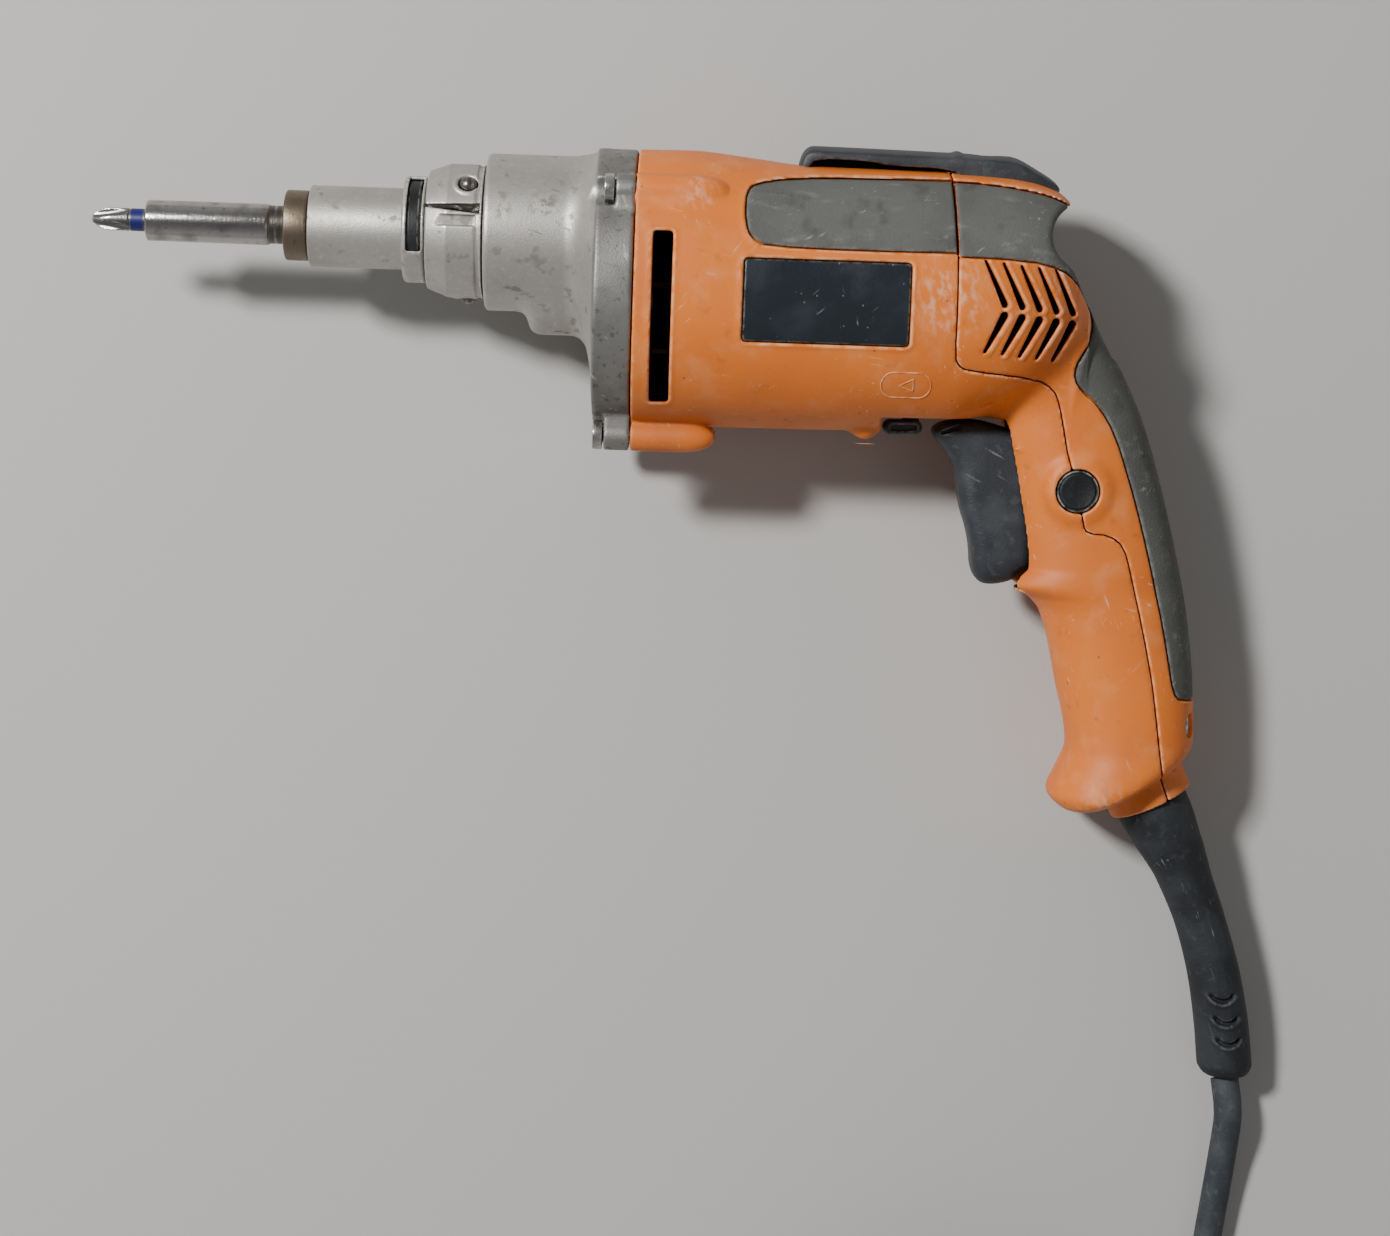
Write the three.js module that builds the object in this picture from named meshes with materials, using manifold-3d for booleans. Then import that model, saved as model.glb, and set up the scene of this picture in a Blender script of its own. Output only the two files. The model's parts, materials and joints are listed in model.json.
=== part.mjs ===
// A corded drywall screwdriver lying on its right side, its cord wound in a coil beside it.
//
// The tool is modelled in tool coordinates, in millimetres: +X runs to the rear along the
// spindle, +Y to the top and +Z to the left side. The spindle axis is the X axis, and x = 0 is
// the joint between the gear case and the motor housing. The tool group is then rolled until
// the barrel and the grip end both touch the ground, and the whole is moved so that the origin
// is at the middle of the tool's footprint, on the ground.
import * as THREE from "three";
import { mergeVertices } from "three/addons/utils/BufferGeometryUtils.js";
import Module from "manifold-3d";

const wasm = await Module();
wasm.setup();

// ---------------------------------------------------------------- driving dimensions
const GAP = 0.3; // clearance between neighbouring solids
const ROUND = 20; // sides of a turned piece
const FEW = 12; // sides of a screw or another small round piece
const BODY_SIDES = 20; // points round a section of the housing
const HOLLOW_SIDES = 12; // points round a section of its hollow
const FAR = 400; // reach of a cutting block
const ROLL = THREE.MathUtils.degToRad(7); // roll of the lying tool about its spindle

// Gears, on the spindle and on the motor's axis below it
const MODULE = 0.75;
const GEAR_TEETH = 38;
const PINION_TEETH = 7;
const TOOTH_TIP = 0.8; // height of a tooth above its pitch circle, in modules
const TOOTH_ROOT = 1.15; // depth of a tooth below it
const MOTOR_Y = (-MODULE * (GEAR_TEETH + PINION_TEETH)) / 2;
const PLATE_X = -4; // front face of the bearing plate
const PLATE_THICKNESS = 6;
const GEAR_X = -19.5;
const GEAR_WIDTH = 8;
const GEAR_HUB_R = 7;
const SHAFT_R = 4;

// Gear case
const CASE_LENGTH = 41;
const CASE_X = -CASE_LENGTH;
const CASE_WALL = 3.6;
const CASE_FRONT_WALL = 4.6;
const GEAR_ROOM = 2.9; // clearance round the drive gear's teeth
const CASE_R = MODULE * (GEAR_TEETH / 2 + TOOTH_TIP) + GEAR_ROOM + CASE_WALL;
const FLANGE_R = 37.4;
const FLANGE_Y = MOTOR_Y + 3.175;
const FLANGE_LENGTH = 10.5;
const SHOULDER_LENGTH = 9;
const EDGE = 0.7; // chamfer of the case's front edge
const PINION_BOSS_R = 10.6;
const PINION_BOSS_X = -29;
const PINION_BOSS_WALL = 2.6;

// Nose of the gear case
const NOSE_LENGTH = 48.3; // nose tube ahead of the case
const NOSE_X = CASE_X - NOSE_LENGTH;
const NOSE_R = 11.1;
const NOSE_WALL = 3.1;
const NOSE_BORE_R = NOSE_R - NOSE_WALL;
const NOSE_FLANGE_R = NOSE_R + 3.9;
const NOSE_FLANGE_THICKNESS = 2;
const COLLAR_LENGTH = 6.5;
const COLLAR_X = NOSE_X - GAP - COLLAR_LENGTH;
const COLLAR_R = NOSE_R - 1.5;
const BEARING_LENGTH = 18;
const DETENT_LENGTH = 15.4;
const DETENT_X = CASE_X - 2 * GAP - DETENT_LENGTH;
const DETENT_FRONT_R = NOSE_R + 4.9;
const DETENT_R = NOSE_R + 7.1;
const DETENT_CONE = 5.8; // length of the collar's front cone
const DETENT_SLOT = { y: 5.6, width: 2, z: 10, rear: 3 };
const BALL_R = 2.4;
const BALL_PROUD = 0.5;
const BALL_INSET_X = 4.1; // from the collar's rear face to the balls
const BALL_FLOOR = 1.2; // wall left under a ball's pocket
const BALL_ANGLES = [45, 180, 315].map(THREE.MathUtils.degToRad);
const LOCK_RING_LENGTH = 6.2;
const LOCK_RING_X = DETENT_X - GAP - LOCK_RING_LENGTH;
const LOCK_RING_R = NOSE_R + 3.4;
const LOCK_RING_SLOT = { from: -4, to: 15.5, z: 9, side: 1 };
const LOCK_SPRING_WIRE_R = 0.9;
const LOCK_SPRING_TURN = 0.94; // share of a full turn

// Bit and spindle line
const HOLDER_R = 5.6;
const HOLDER_LENGTH = 42.7;
const HOLDER_REAR_X = NOSE_X - 2.2;
const HOLDER_X = HOLDER_REAR_X - HOLDER_LENGTH;
const HOLDER_SOCKET_DEPTH = 16;
const HOLDER_GROOVE = { x: HOLDER_REAR_X - 9.3, length: 3.6, depth: 0.5, slope: 0.4 };
const BIT_REACH = 15.2; // bit ahead of its holder
const BIT_TIP_X = HOLDER_X - BIT_REACH;
const BIT_SHANK_R = 3.1;
const BIT_FLUTE = { length: 7.5, r: 1.5, endR: 1.1, away: 2.3 };
const STUD_R = 3;
const STUD_LENGTH = 8;
const PUSH = 3.5; // how far the spindle is pushed in to engage the clutch
const SPINDLE_TAIL_R = 4;
const SPINDLE_TAIL_X = PLATE_X - PUSH;
const WASHER_THICKNESS = 1.5;
const NOSE_FLANGE_X = CASE_X + CASE_FRONT_WALL + 3 * GAP; // front face of the nose tube's flange
const CLUTCH_X = NOSE_FLANGE_X + NOSE_FLANGE_THICKNESS + WASHER_THICKNESS + 2 * GAP;
const CLUTCH_THICKNESS = 3.9;
const CLUTCH_R = 12;
const DOG_COUNT = 3;
const DOG_HEIGHT = 2.5;
const DOG_ANGLE = THREE.MathUtils.degToRad(30);
const DOG_INNER_R = 8.6;
const DOG_ROOT = 0.5; // how deep a dog is rooted in its flange
const SPRING_R = 6.1; // mean radius of the clutch spring
const SPRING_WIRE_R = 0.6;
const SPRING_TURNS = 2.5;

// Motor
const WALL = 3; // of the plastic shells
const FIELD_ROOM = 4.9; // between the field core and the housing's wall
const FIELD_R = FLANGE_R - WALL - FIELD_ROOM;
const FIELD_RIM = 5;
const ARMATURE_R = 15.5;
const AIR_GAP = 0.7;
const FIELD_BORE_R = ARMATURE_R + AIR_GAP;
const FIELD_LIP = 1; // field core beyond the armature core at each end
const POLE_SPREAD = THREE.MathUtils.degToRad(76);
const COIL_SPREAD = THREE.MathUtils.degToRad(102);
const COIL_WINDOW = THREE.MathUtils.degToRad(80);
const COIL_OVERHANG = 6;
const COIL_DEPTH = { inner: 1.2, outer: 5.6 }; // from the field's bore and from its outside
const FRONT_BEARING_R = SHAFT_R + 6.7;
const BEARING_SEAT = 2.6; // wall round the front bearing
const FAN_X = 5;
const FAN_R = FIELD_R - 2.5;
const FAN_LENGTH = 8;
const FAN_BLADES = 9;
const FAN_HUB = 4; // wall of the fan's hub
const FAN_SHEET = 1.4;
const CORE_X = 28;
const CORE_LENGTH = 28;
const CORE_SLOTS = 12;
const SLOT_DEPTH = 6;
const WINDING_HEAD = 6;
const COMMUTATOR_X = 66;
const COMMUTATOR_LENGTH = 12;
const COMMUTATOR_R = ARMATURE_R - 5;
const REAR_BEARING_X = 81;
const REAR_BEARING_R = SHAFT_R + 5.5;
const REAR_BEARING_LENGTH = 6;
const BEARING_WEB = { side: 0.4, half: 4, wall: 3 };
const BRUSH_X = 72;
const BRUSH_SIZE = 6;
const BRUSH_LENGTH = 14;
const BRUSH_HOLDER = { wall: 1.2, start: 1.2, length: 15, bore: 13.6 };
const BRUSH_FOOT = { from: 9, to: 12, end: 0.8 };

// Motor housing, rear cover and rubber
const RUBBER = 1.5; // thickness of the moulded-on rubber
const BARREL_TOP = FLANGE_Y + FLANGE_R;
const BARREL_BOTTOM = FLANGE_Y - FLANGE_R;
const BARREL = [
  // x along the barrel, and how far its top, bottom and sides lie inside the case's flange there
  { x: 0, top: -0.1, bottom: 0, side: 0.4 },
  { x: 14, top: -0.3, bottom: 0, side: 0.4 },
  { x: 30, top: 1.1, bottom: 0.1, side: 1.2 },
  { x: 47, top: 2.8, bottom: 0.2, side: 1.8 },
  { x: 86, top: 3.2, bottom: 2.1, side: 2.6 },
  { x: 98, top: 3.7, bottom: 6.1, side: 3.4 },
  { x: 106, top: 4.6, bottom: 9.6, side: 5 },
  { x: 112.8, top: 6.7, bottom: 14.1, side: 7.8 },
  { x: 117.5, top: 11.3, bottom: 18.6, side: 11.9 },
  { x: 121, top: 19.7, bottom: 22.6, side: 17.4 },
  { x: 123.3, top: 31.7, bottom: 27.1, side: 24.4 },
];
const BARREL_END = 4; // the first station of its rounded rear end
const GRIP = [
  // y down the grip, its front, its rear and its half thickness there
  { y: 3, front: 88, rear: 112, half: 15 },
  { y: -8, front: 90.5, rear: 119.6, half: 17.8 },
  { y: -20, front: 94, rear: 127.1, half: 18.5 },
  { y: -34, front: 99, rear: 135.4, half: 17.6 },
  { y: -47, front: 100.6, rear: 141.4, half: 17.2 },
  { y: -64, front: 104.1, rear: 147, half: 17.2 },
  { y: -87, front: 108.6, rear: 153.2, half: 17.5 },
  { y: -90.5, front: 105, rear: 154, half: 17.5 },
  { y: -94, front: 111, rear: 154.8, half: 17.5 },
  { y: -99, front: 115.4, rear: 155.8, half: 17.6 },
  { y: -118, front: 120.2, rear: 158.4, half: 17.8 },
  { y: -136, front: 124.2, rear: 159.5, half: 18.4 },
  { y: -143, front: 121.8, rear: 159.2, half: 19.5 },
  { y: -149, front: 119.6, rear: 157.4, half: 20.6 },
  { y: -152.5, front: 121.4, rear: 152.5, half: 19.2 },
  { y: -154.8, front: 126.5, rear: 142, half: 14 },
];
const SECTION_POWER = 2.35; // 2 is an ellipse, more is squarer
const WEB_NOTCH = { x: 120.6, y: 4.2, r: 7.8 }; // where the hand's web sits
const BELLY_STEP = { x: 68.2, y: -46 }; // recess over the trigger and the reversing lever
const BELLY_BUMP = { x: 64, y: -49.2, r: 3.4, half: 11 };
const SKIRT_R = 11.4; // round skirt that holds the strain relief
const SKIRT_LENGTH = 9;
const VENT = { x: 5, y: -43.5, width: 5.3, height: 45.5 };
const LOUVER = { count: 5, x: 99.5, pitch: 4.9, width: 1.8, bend: 5.5, top: -4.5, mid: -17, bottom: -29 };
const LABEL = { x: 29.5, y: -27.4, length: 46.2, height: 22.4, depth: 0.9, thickness: 0.6 };
const SIDE_GRIP = [
  // x, and the depth below the top of the case's flange
  [29, 15.7], [29.4, 10.5], [31.5, 8.5], [41, 6.7], [60, 6], [85.4, 5.8], [86.6, 14.7], [87, 24.9],
  [60, 25.3], [34.5, 24.9], [31, 22.9], [29.6, 20.2],
];
const SEAM = [
  // where the rear cover meets the motor housing, from the top to the cord
  [85.7, 17.9], [86.9, 9.1], [88.1, -1.5], [88.8, -14.6], [88.8, -29.5], [90.2, -32], [92.5, -33.2],
  [110.9, -34.8], [114.3, -37], [116, -41], [117.8, -49], [119, -55], [122, -64.2], [124, -73.6],
  [125.2, -75.6], [131.4, -76], [135.4, -79], [137.8, -87], [141.8, -102.5], [144.9, -115.8],
  [146.4, -125], [148.6, -139.6], [149.7, -144], [152.4, -150.6], [155, -158],
];
const SPINE = [
  // lower and front edge of the rubber on the rear cover, from the seam down the grip
  [80, -2.2], [104, -2.6], [113.8, -4.8], [117.4, -7.4], [120.8, -11.5], [123.2, -15.6],
  [124.2, -19.3], [123.4, -23.4], [121.2, -27.3], [119.6, -30.2], [119.5, -34], [121.8, -37.3],
  [125.4, -39.9], [129.4, -45], [132.4, -51], [134.4, -56.5], [138.2, -67.4], [141.4, -78.4],
  [144.4, -89.4], [147.1, -100.4], [149.5, -111.6], [151, -119.6], [152.8, -121.6], [170, -122.2],
];
const TOP_STRIP = [
  // upper edge of that rubber: x, and the depth below the top of the case's flange
  [80, 5.8], [96, 6.5], [108, 8.3], [114, 10.1], [122, 13.3],
];

// Controls
const TRIGGER = {
  half: 9,
  bevel: 1.6,
  travel: 6.5,
  outline: [
    [82, -50.4], [85.6, -47.3], [94.5, -46.6], [99.8, -48.4], [110, -50.5], [113, -86], [108.8, -88],
    [106.6, -90.6], [100.2, -92], [96.6, -90.6], [95, -87], [94.8, -82.5], [93.6, -76.6],
    [91.2, -70.4], [90, -61.7], [87.4, -55.6],
  ],
};
const TRIGGER_SLOT = { x: 92, rear: 118, bottom: -92.6, play: 0.4 };
const LEVER = { x: 69.4, length: 10.4, top: -47.2, bottom: -51.2, half: 4.2, pivotX: 77, pinR: 2.4 };
const LOCK = { x: 122, y: -64.2, r: 5.7, ringR: 8.45, wallZ: 17.2, proud: 1.2 };
const LOCK_COLLAR = { width: 1.2, thickness: 1.6, play: 0.6 }; // keeps the button from falling out
const TRIGGER_REAR = Math.max(...TRIGGER.outline.map(([x]) => x));
const SWITCH = { x: TRIGGER_REAR + TRIGGER.travel + 2 * GAP, room: 4, y: -87, top: -54, half: 9 };

// Belt hook and screws
const HOOK = {
  half: 9.5,
  outline: [
    // x, and the height above the top of the case's flange
    [43.7, -1.8], [44.6, 0.9], [46, 2.4], [47.4, 2.7], [100, 1.9], [103.4, 1.1], [107.4, -1.1],
    [113, -4.3], [114.6, -6.3], [113, -6.3], [108.5, -4.6], [104, -3.8], [96, -2.9], [86.2, -2.6],
    [85.4, -1.1], [67.7, -0.7], [62.2, 0.6], [47.6, 0.7], [45.7, -1.8],
  ],
};
const SCREW_HEAD_R = 4;
const SCREW_HEAD = 2.6;
const SCREW_R = 2;
const SCREW_LENGTH = 24;
const SCREW_RECESS = { share: 0.45, depth: 1.3 }; // of the head's radius
// Gear case screws: angle from the top, reach beyond the flange's rim, and the boss's taper
const UPPER_SCREW = { angle: 45.75, reach: 0.3, x: -5.4, taper: 3.2 };
const LOWER_SCREW = { angle: 163.3, reach: 4.25, x: -7.2, taper: 2 };
const CASE_SCREWS = [1, -1].flatMap((side) => [{ ...UPPER_SCREW, side }, { ...LOWER_SCREW, side }]).map(
  ({ angle, reach, side, ...rest }) => ({
    ...rest,
    y: FLANGE_Y + (FLANGE_R + reach) * Math.cos(THREE.MathUtils.degToRad(angle)),
    z: side * (FLANGE_R + reach) * Math.sin(THREE.MathUtils.degToRad(angle)),
  }),
);
const BOSS_R = 4.1;
const BOSS_LENGTH = 23;
const BOSS_RIB = 0.6; // how much narrower the rib under a boss is
const SCREW_POCKET = { play: 0.8, length: 12 };
const COVER_SCREW = { x: 155.6, y: -128.6, z: 9, length: 15, head: 2, pocketR: 3.4 };
const COVER_BOSS = { front: 4, rear: 1, wall: 1.4 };
const COVER_SCREW_HEAD_R = 3;
const COVER_SCREW_R = 1.5;
const HOOK_SCREW = { x: 94, height: 1.5, length: 17, cap: 1.3, seat: 1.6 };

// Strain relief, cord and plug
const CORD_R = 4;
const CORD_SIDES = 10;
const BOOT = [
  // centre line of the rubber strain relief and its radius, from the grip down
  { x: 148.2, y: -151.4, z: 0, r: 10.6 },
  { x: 152.8, y: -160.6, z: 0, r: 9.3 },
  { x: 159.2, y: -173, z: 0, r: 7.4 },
  { x: 164.8, y: -186.3, z: -0.2, r: 7 },
  { x: 169.3, y: -200.8, z: -0.6, r: 7.3 },
  { x: 172.1, y: -214.6, z: -1.1, r: 7.6 },
  { x: 173.7, y: -226.2, z: -1.7, r: 7.7 },
  { x: 174.1, y: -229.6, z: -1.9, r: 6 },
];
const BOOT_SIDES = 16;
const BOOT_FLANGE = { length: 3, r: 10.6, neckR: 8.2 };
const CLAMP = { start: 16, length: 5, r: 9, half: 8 };
const CORD_ROUTE = [
  // from the strain relief to the coil, in the part's frame, down onto the ground
  [159.4, -138, 9.2], [158.8, -149, 6.4], [157.5, -161, 4.6], [155.6, -175, 4], [153.9, -189, 4],
  [153, -203, 4], [152.8, -218, 4], [152.8, -230, 4], [152.8, -240, 4],
];
const COIL = { x: 90.4, y: -240, inner: 34, outer: 58, height: 31, round: 3 };
const TAIL_ROUTE = [
  // from the coil to the plug, up to the plug's middle
  [89, -302.4, 4], [76, -302.6, 4], [62, -301, 4.6], [52, -299.2, 7.6], [46, -298.7, 9],
  [42, -298.7, 9],
];
const PLUG = { length: 34, width: 24, thickness: 18, neck: 10, power: 2.6 };
const BLADE = { spacing: 12.7, width: 6.3, thickness: 1.5, length: 17 };
const TIE = { width: 9, thickness: 1.2, angle: THREE.MathUtils.degToRad(115) };

// ---------------------------------------------------------------- solids and booleans
function toSolid(geometry) {
  const bare = new THREE.BufferGeometry();
  bare.setAttribute("position", geometry.getAttribute("position"));
  bare.setIndex(geometry.index);
  const merged = mergeVertices(bare, 1e-4);
  const corners = merged.index.array;
  const triangles = [];
  for (let i = 0; i < corners.length; i += 3) {
    const [a, b, c] = corners.slice(i, i + 3);
    if (a !== b && b !== c && c !== a) triangles.push(a, b, c);
  }
  const vertices = merged.attributes.position.array;
  const solidFrom = (triVerts) =>
    new wasm.Manifold(
      new wasm.Mesh({ numProp: 3, vertProperties: vertices, triVerts: new Uint32Array(triVerts) }),
    );
  const made = solidFrom(triangles);
  return made.volume() < 0 ? solidFrom(triangles.reverse()) : made;
}

function toGeometry(solid) {
  const mesh = solid.getMesh();
  const geometry = new THREE.BufferGeometry();
  geometry.setAttribute("position", new THREE.BufferAttribute(mesh.vertProperties, 3));
  geometry.setIndex(new THREE.BufferAttribute(mesh.triVerts, 1));
  geometry.computeVertexNormals();
  return geometry;
}

const join = (first, ...rest) => rest.reduce((sum, next) => sum.add(next), first);
const cut = (first, ...rest) => rest.reduce((left, next) => left.subtract(next), first);

function block(low, high) {
  const size = high.map((value, i) => value - low[i]);
  const middle = high.map((value, i) => (value + low[i]) / 2);
  return toSolid(new THREE.BoxGeometry(...size).translate(...middle));
}

// A cylinder or cone along X, Y or Z from `from` to `to`, with its axis at (a, b) on the others.
function rod(axis, from, to, a, b, r0, r1 = r0, sides = ROUND) {
  const geometry = new THREE.CylinderGeometry(r1, r0, to - from, sides);
  geometry.translate(0, (from + to) / 2, 0);
  if (axis === "x") geometry.rotateZ(-Math.PI / 2).translate(0, a, b);
  if (axis === "y") geometry.translate(a, 0, b);
  if (axis === "z") geometry.rotateX(Math.PI / 2).translate(a, b, 0);
  return toSolid(geometry);
}

// A piece turned about an axis along X at height y: the profile is a closed list of [x, r].
function turned(profile, y = 0, sides = ROUND) {
  const points = [...profile, profile[0]].map(([x, r]) => new THREE.Vector2(r, x));
  return toSolid(new THREE.LatheGeometry(points, sides).rotateZ(-Math.PI / 2).translate(0, y, 0));
}

const ring = (x0, x1, inner, outer, y = 0, sides = ROUND) =>
  turned([[x0, inner], [x1, inner], [x1, outer], [x0, outer]], y, sides);

// A side outline in x and y, extruded across the tool from z0 to z1.
function slab(outline, z0, z1, bevel = 0) {
  const shape = new THREE.Shape(outline.map(([x, y]) => new THREE.Vector2(x, y)));
  const geometry = new THREE.ExtrudeGeometry(shape, {
    depth: z1 - z0 - 2 * bevel,
    bevelEnabled: bevel > 0,
    bevelThickness: bevel,
    bevelSize: bevel,
    bevelOffset: -bevel,
    bevelSegments: 2,
  });
  return toSolid(geometry.translate(0, 0, z0 + bevel));
}

// An outline in y and z, extruded along X from x0 to x1.
function bar(outline, x0, x1) {
  const shape = new THREE.Shape(outline.map(([y, z]) => new THREE.Vector2(y, z)));
  const geometry = new THREE.ExtrudeGeometry(shape, { depth: x1 - x0, bevelEnabled: false });
  const turn = new THREE.Matrix4().makeBasis(
    new THREE.Vector3(0, 1, 0),
    new THREE.Vector3(0, 0, 1),
    new THREE.Vector3(1, 0, 0),
  );
  return toSolid(geometry.applyMatrix4(turn).translate(x0, 0, 0));
}

// A skin over rings of equal point counts, closed by a fan at each end.
function loft(rings) {
  const count = rings[0].length;
  const middle = (points) =>
    points.reduce((sum, p) => sum.add(p), new THREE.Vector3()).divideScalar(points.length);
  const points = [...rings.flat(), middle(rings[0]), middle(rings.at(-1))];
  const last = (rings.length - 1) * count;
  const index = [];
  for (let j = 0; j < count; j++) {
    const next = (j + 1) % count;
    for (let start = 0; start < last; start += count) {
      index.push(start + j, start + next, start + count + next);
      index.push(start + j, start + count + next, start + count + j);
    }
    index.push(points.length - 2, next, j);
    index.push(points.length - 1, last + j, last + next);
  }
  const geometry = new THREE.BufferGeometry().setFromPoints(points);
  geometry.setIndex(index);
  return toSolid(geometry);
}

// A rounded section as points of two numbers: along the tool's height or length, and across it.
function section(middle, halfAlong, halfAcross, power = SECTION_POWER, sides = BODY_SIDES) {
  const bend = (value) => Math.sign(value) * Math.abs(value) ** (2 / power);
  return Array.from({ length: sides }, (_, i) => {
    const angle = (2 * Math.PI * i) / sides;
    return [middle + halfAlong * bend(Math.cos(angle)), halfAcross * bend(Math.sin(angle))];
  });
}

// Rings of the barrel, moved `inset` inwards from its skin.
const barrelRings = (stations, inset, sides) =>
  stations.map(({ x, top, bottom, side }) => {
    const middle = (BARREL_TOP - top + BARREL_BOTTOM + bottom) / 2;
    const tall = (BARREL_TOP - top - BARREL_BOTTOM - bottom) / 2;
    return section(middle, tall - inset, FLANGE_R - side - inset, SECTION_POWER, sides).map(
      ([y, z]) => new THREE.Vector3(x, y, z),
    );
  });

const gripRings = (stations, inset, sides) =>
  stations.map(({ y, front, rear, half }) =>
    section((front + rear) / 2, (rear - front) / 2 - inset, half - inset, SECTION_POWER, sides).map(
      ([x, z]) => new THREE.Vector3(x, y, z),
    ),
  );

// Rear edge of the grip at the height y.
function gripRear(y) {
  const i = GRIP.findIndex((station) => station.y <= y);
  const share = (GRIP[i - 1].y - y) / (GRIP[i - 1].y - GRIP[i].y);
  return THREE.MathUtils.lerp(GRIP[i - 1].rear, GRIP[i].rear, share);
}

// An outline given by depths below the top of the case's flange, in tool coordinates.
const underTop = (outline) => outline.map(([x, depth]) => [x, BARREL_TOP - depth]);

// A polyline moved sideways, to the left of its direction, by `distance`.
function shifted(points, distance) {
  return points.map(([x, y], i) => {
    const [x0, y0] = points[Math.max(i - 1, 0)];
    const [x1, y1] = points[Math.min(i + 1, points.length - 1)];
    const length = Math.hypot(x1 - x0, y1 - y0);
    return [x - ((y1 - y0) * distance) / length, y + ((x1 - x0) * distance) / length];
  });
}

// A wheel's tooth outline in y and z about (y, 0): each tooth is a trapezoid.
function toothOutline(teeth, y, turn) {
  const pitchR = (MODULE * teeth) / 2;
  const tipR = pitchR + TOOTH_TIP * MODULE;
  const rootR = pitchR - TOOTH_ROOT * MODULE;
  const pitch = (2 * Math.PI) / teeth;
  const corners = [[-0.27, rootR], [-0.13, tipR], [0.13, tipR], [0.27, rootR]];
  return Array.from({ length: teeth }, (_, i) =>
    corners.map(([share, r]) => {
      const angle = turn + (i + share) * pitch;
      return [y + r * Math.cos(angle), r * Math.sin(angle)];
    }),
  ).flat();
}

// Circular sweep of a round section along points, closed at both ends.
function sweep(points, radius, sides, steps) {
  const path = new THREE.CatmullRomCurve3(points);
  const corners = Array.from({ length: sides }, (_, i) => {
    const angle = (2 * Math.PI * i) / sides;
    return new THREE.Vector2(radius * Math.cos(angle), radius * Math.sin(angle));
  });
  const shape = new THREE.Shape(corners);
  return toSolid(new THREE.ExtrudeGeometry(shape, { steps, extrudePath: path, bevelEnabled: false }));
}

// ---------------------------------------------------------------- materials
const finish = (color, roughness, metalness = 0) =>
  new THREE.MeshStandardMaterial({ color, roughness, metalness });
const FINISH = {
  orange: finish(0xcf7a35, 0.55),
  rubber: finish(0x5e605d, 0.85),
  darkPlastic: finish(0x33373b, 0.55),
  black: finish(0x1c1e20, 0.6),
  cast: finish(0xb4b1aa, 0.5, 0.85),
  chrome: finish(0xc8c8c8, 0.16, 1),
  steel: finish(0x8f8f90, 0.35, 1),
  darkSteel: finish(0x4a4744, 0.45, 0.9),
  bronze: finish(0x73675b, 0.6, 0.4),
  copper: finish(0xb2673a, 0.35, 0.9),
  brass: finish(0xb99a55, 0.35, 0.9),
  carbon: finish(0x232323, 0.7),
  label: finish(0x20262c, 0.4),
};

const tool = new THREE.Group();
const cordGroup = new THREE.Group();

function place(group, name, solid, material) {
  const mesh = new THREE.Mesh(toGeometry(solid), material);
  mesh.name = name;
  group.add(mesh);
  return mesh;
}

// ---------------------------------------------------------------- spindle line
const clutchRear = CLUTCH_X + CLUTCH_THICKNESS;

function dogs(x0, x1, turn) {
  return Array.from({ length: DOG_COUNT }, (_, i) => {
    const middle = turn + (2 * Math.PI * i) / DOG_COUNT;
    const edge = (r, share) => {
      const angle = middle + share * DOG_ANGLE;
      return [r * Math.cos(angle), r * Math.sin(angle)];
    };
    const outline = [-0.5, -0.17, 0.17, 0.5].map((share) => edge(CLUTCH_R - GAP, share));
    outline.push(edge(DOG_INNER_R, 0.5), edge(DOG_INNER_R, -0.5));
    return bar(outline, x0, x1);
  });
}

function screwBit() {
  const socketEnd = HOLDER_X + HOLDER_SOCKET_DEPTH - GAP;
  const body = turned([
    [BIT_TIP_X, 0], [BIT_TIP_X, 0.5], [BIT_TIP_X + 3.6, 2.5], [BIT_TIP_X + 10.4, BIT_SHANK_R],
    [socketEnd, BIT_SHANK_R], [socketEnd, 0],
  ], 0, FEW);
  const flutes = [45, 135, 225, 315].map((degrees) => {
    const angle = THREE.MathUtils.degToRad(degrees);
    const { length, r, endR, away } = BIT_FLUTE;
    return rod("x", BIT_TIP_X - 1, BIT_TIP_X + length, away * Math.cos(angle), away * Math.sin(angle),
      r, endR, FEW - 4);
  });
  return cut(body, ...flutes);
}

function bitHolder() {
  const socketR = BIT_SHANK_R + GAP;
  const { x, length, depth, slope } = HOLDER_GROOVE;
  return turned([
    [HOLDER_X, socketR], [HOLDER_X, HOLDER_R - 0.8], [HOLDER_X + 0.8, HOLDER_R],
    [x, HOLDER_R], [x + slope, HOLDER_R - depth], [x + length - slope, HOLDER_R - depth],
    [x + length, HOLDER_R], [HOLDER_REAR_X, HOLDER_R], [HOLDER_REAR_X, STUD_R],
    [HOLDER_REAR_X + STUD_LENGTH, STUD_R], [HOLDER_REAR_X + STUD_LENGTH, 0],
    [HOLDER_X + HOLDER_SOCKET_DEPTH, 0], [HOLDER_X + HOLDER_SOCKET_DEPTH, socketR],
  ]);
}

function spindle() {
  const front = HOLDER_REAR_X + GAP;
  const boreEnd = HOLDER_REAR_X + STUD_LENGTH + GAP;
  const body = turned([
    [front, STUD_R + GAP], [front, HOLDER_R], [CLUTCH_X, HOLDER_R], [CLUTCH_X, CLUTCH_R],
    [clutchRear, CLUTCH_R], [clutchRear, SPINDLE_TAIL_R], [SPINDLE_TAIL_X, SPINDLE_TAIL_R],
    [SPINDLE_TAIL_X, 0], [boreEnd, 0], [boreEnd, STUD_R + GAP],
  ]);
  return join(body, ...dogs(clutchRear - DOG_ROOT, clutchRear + DOG_HEIGHT, 0));
}

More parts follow.
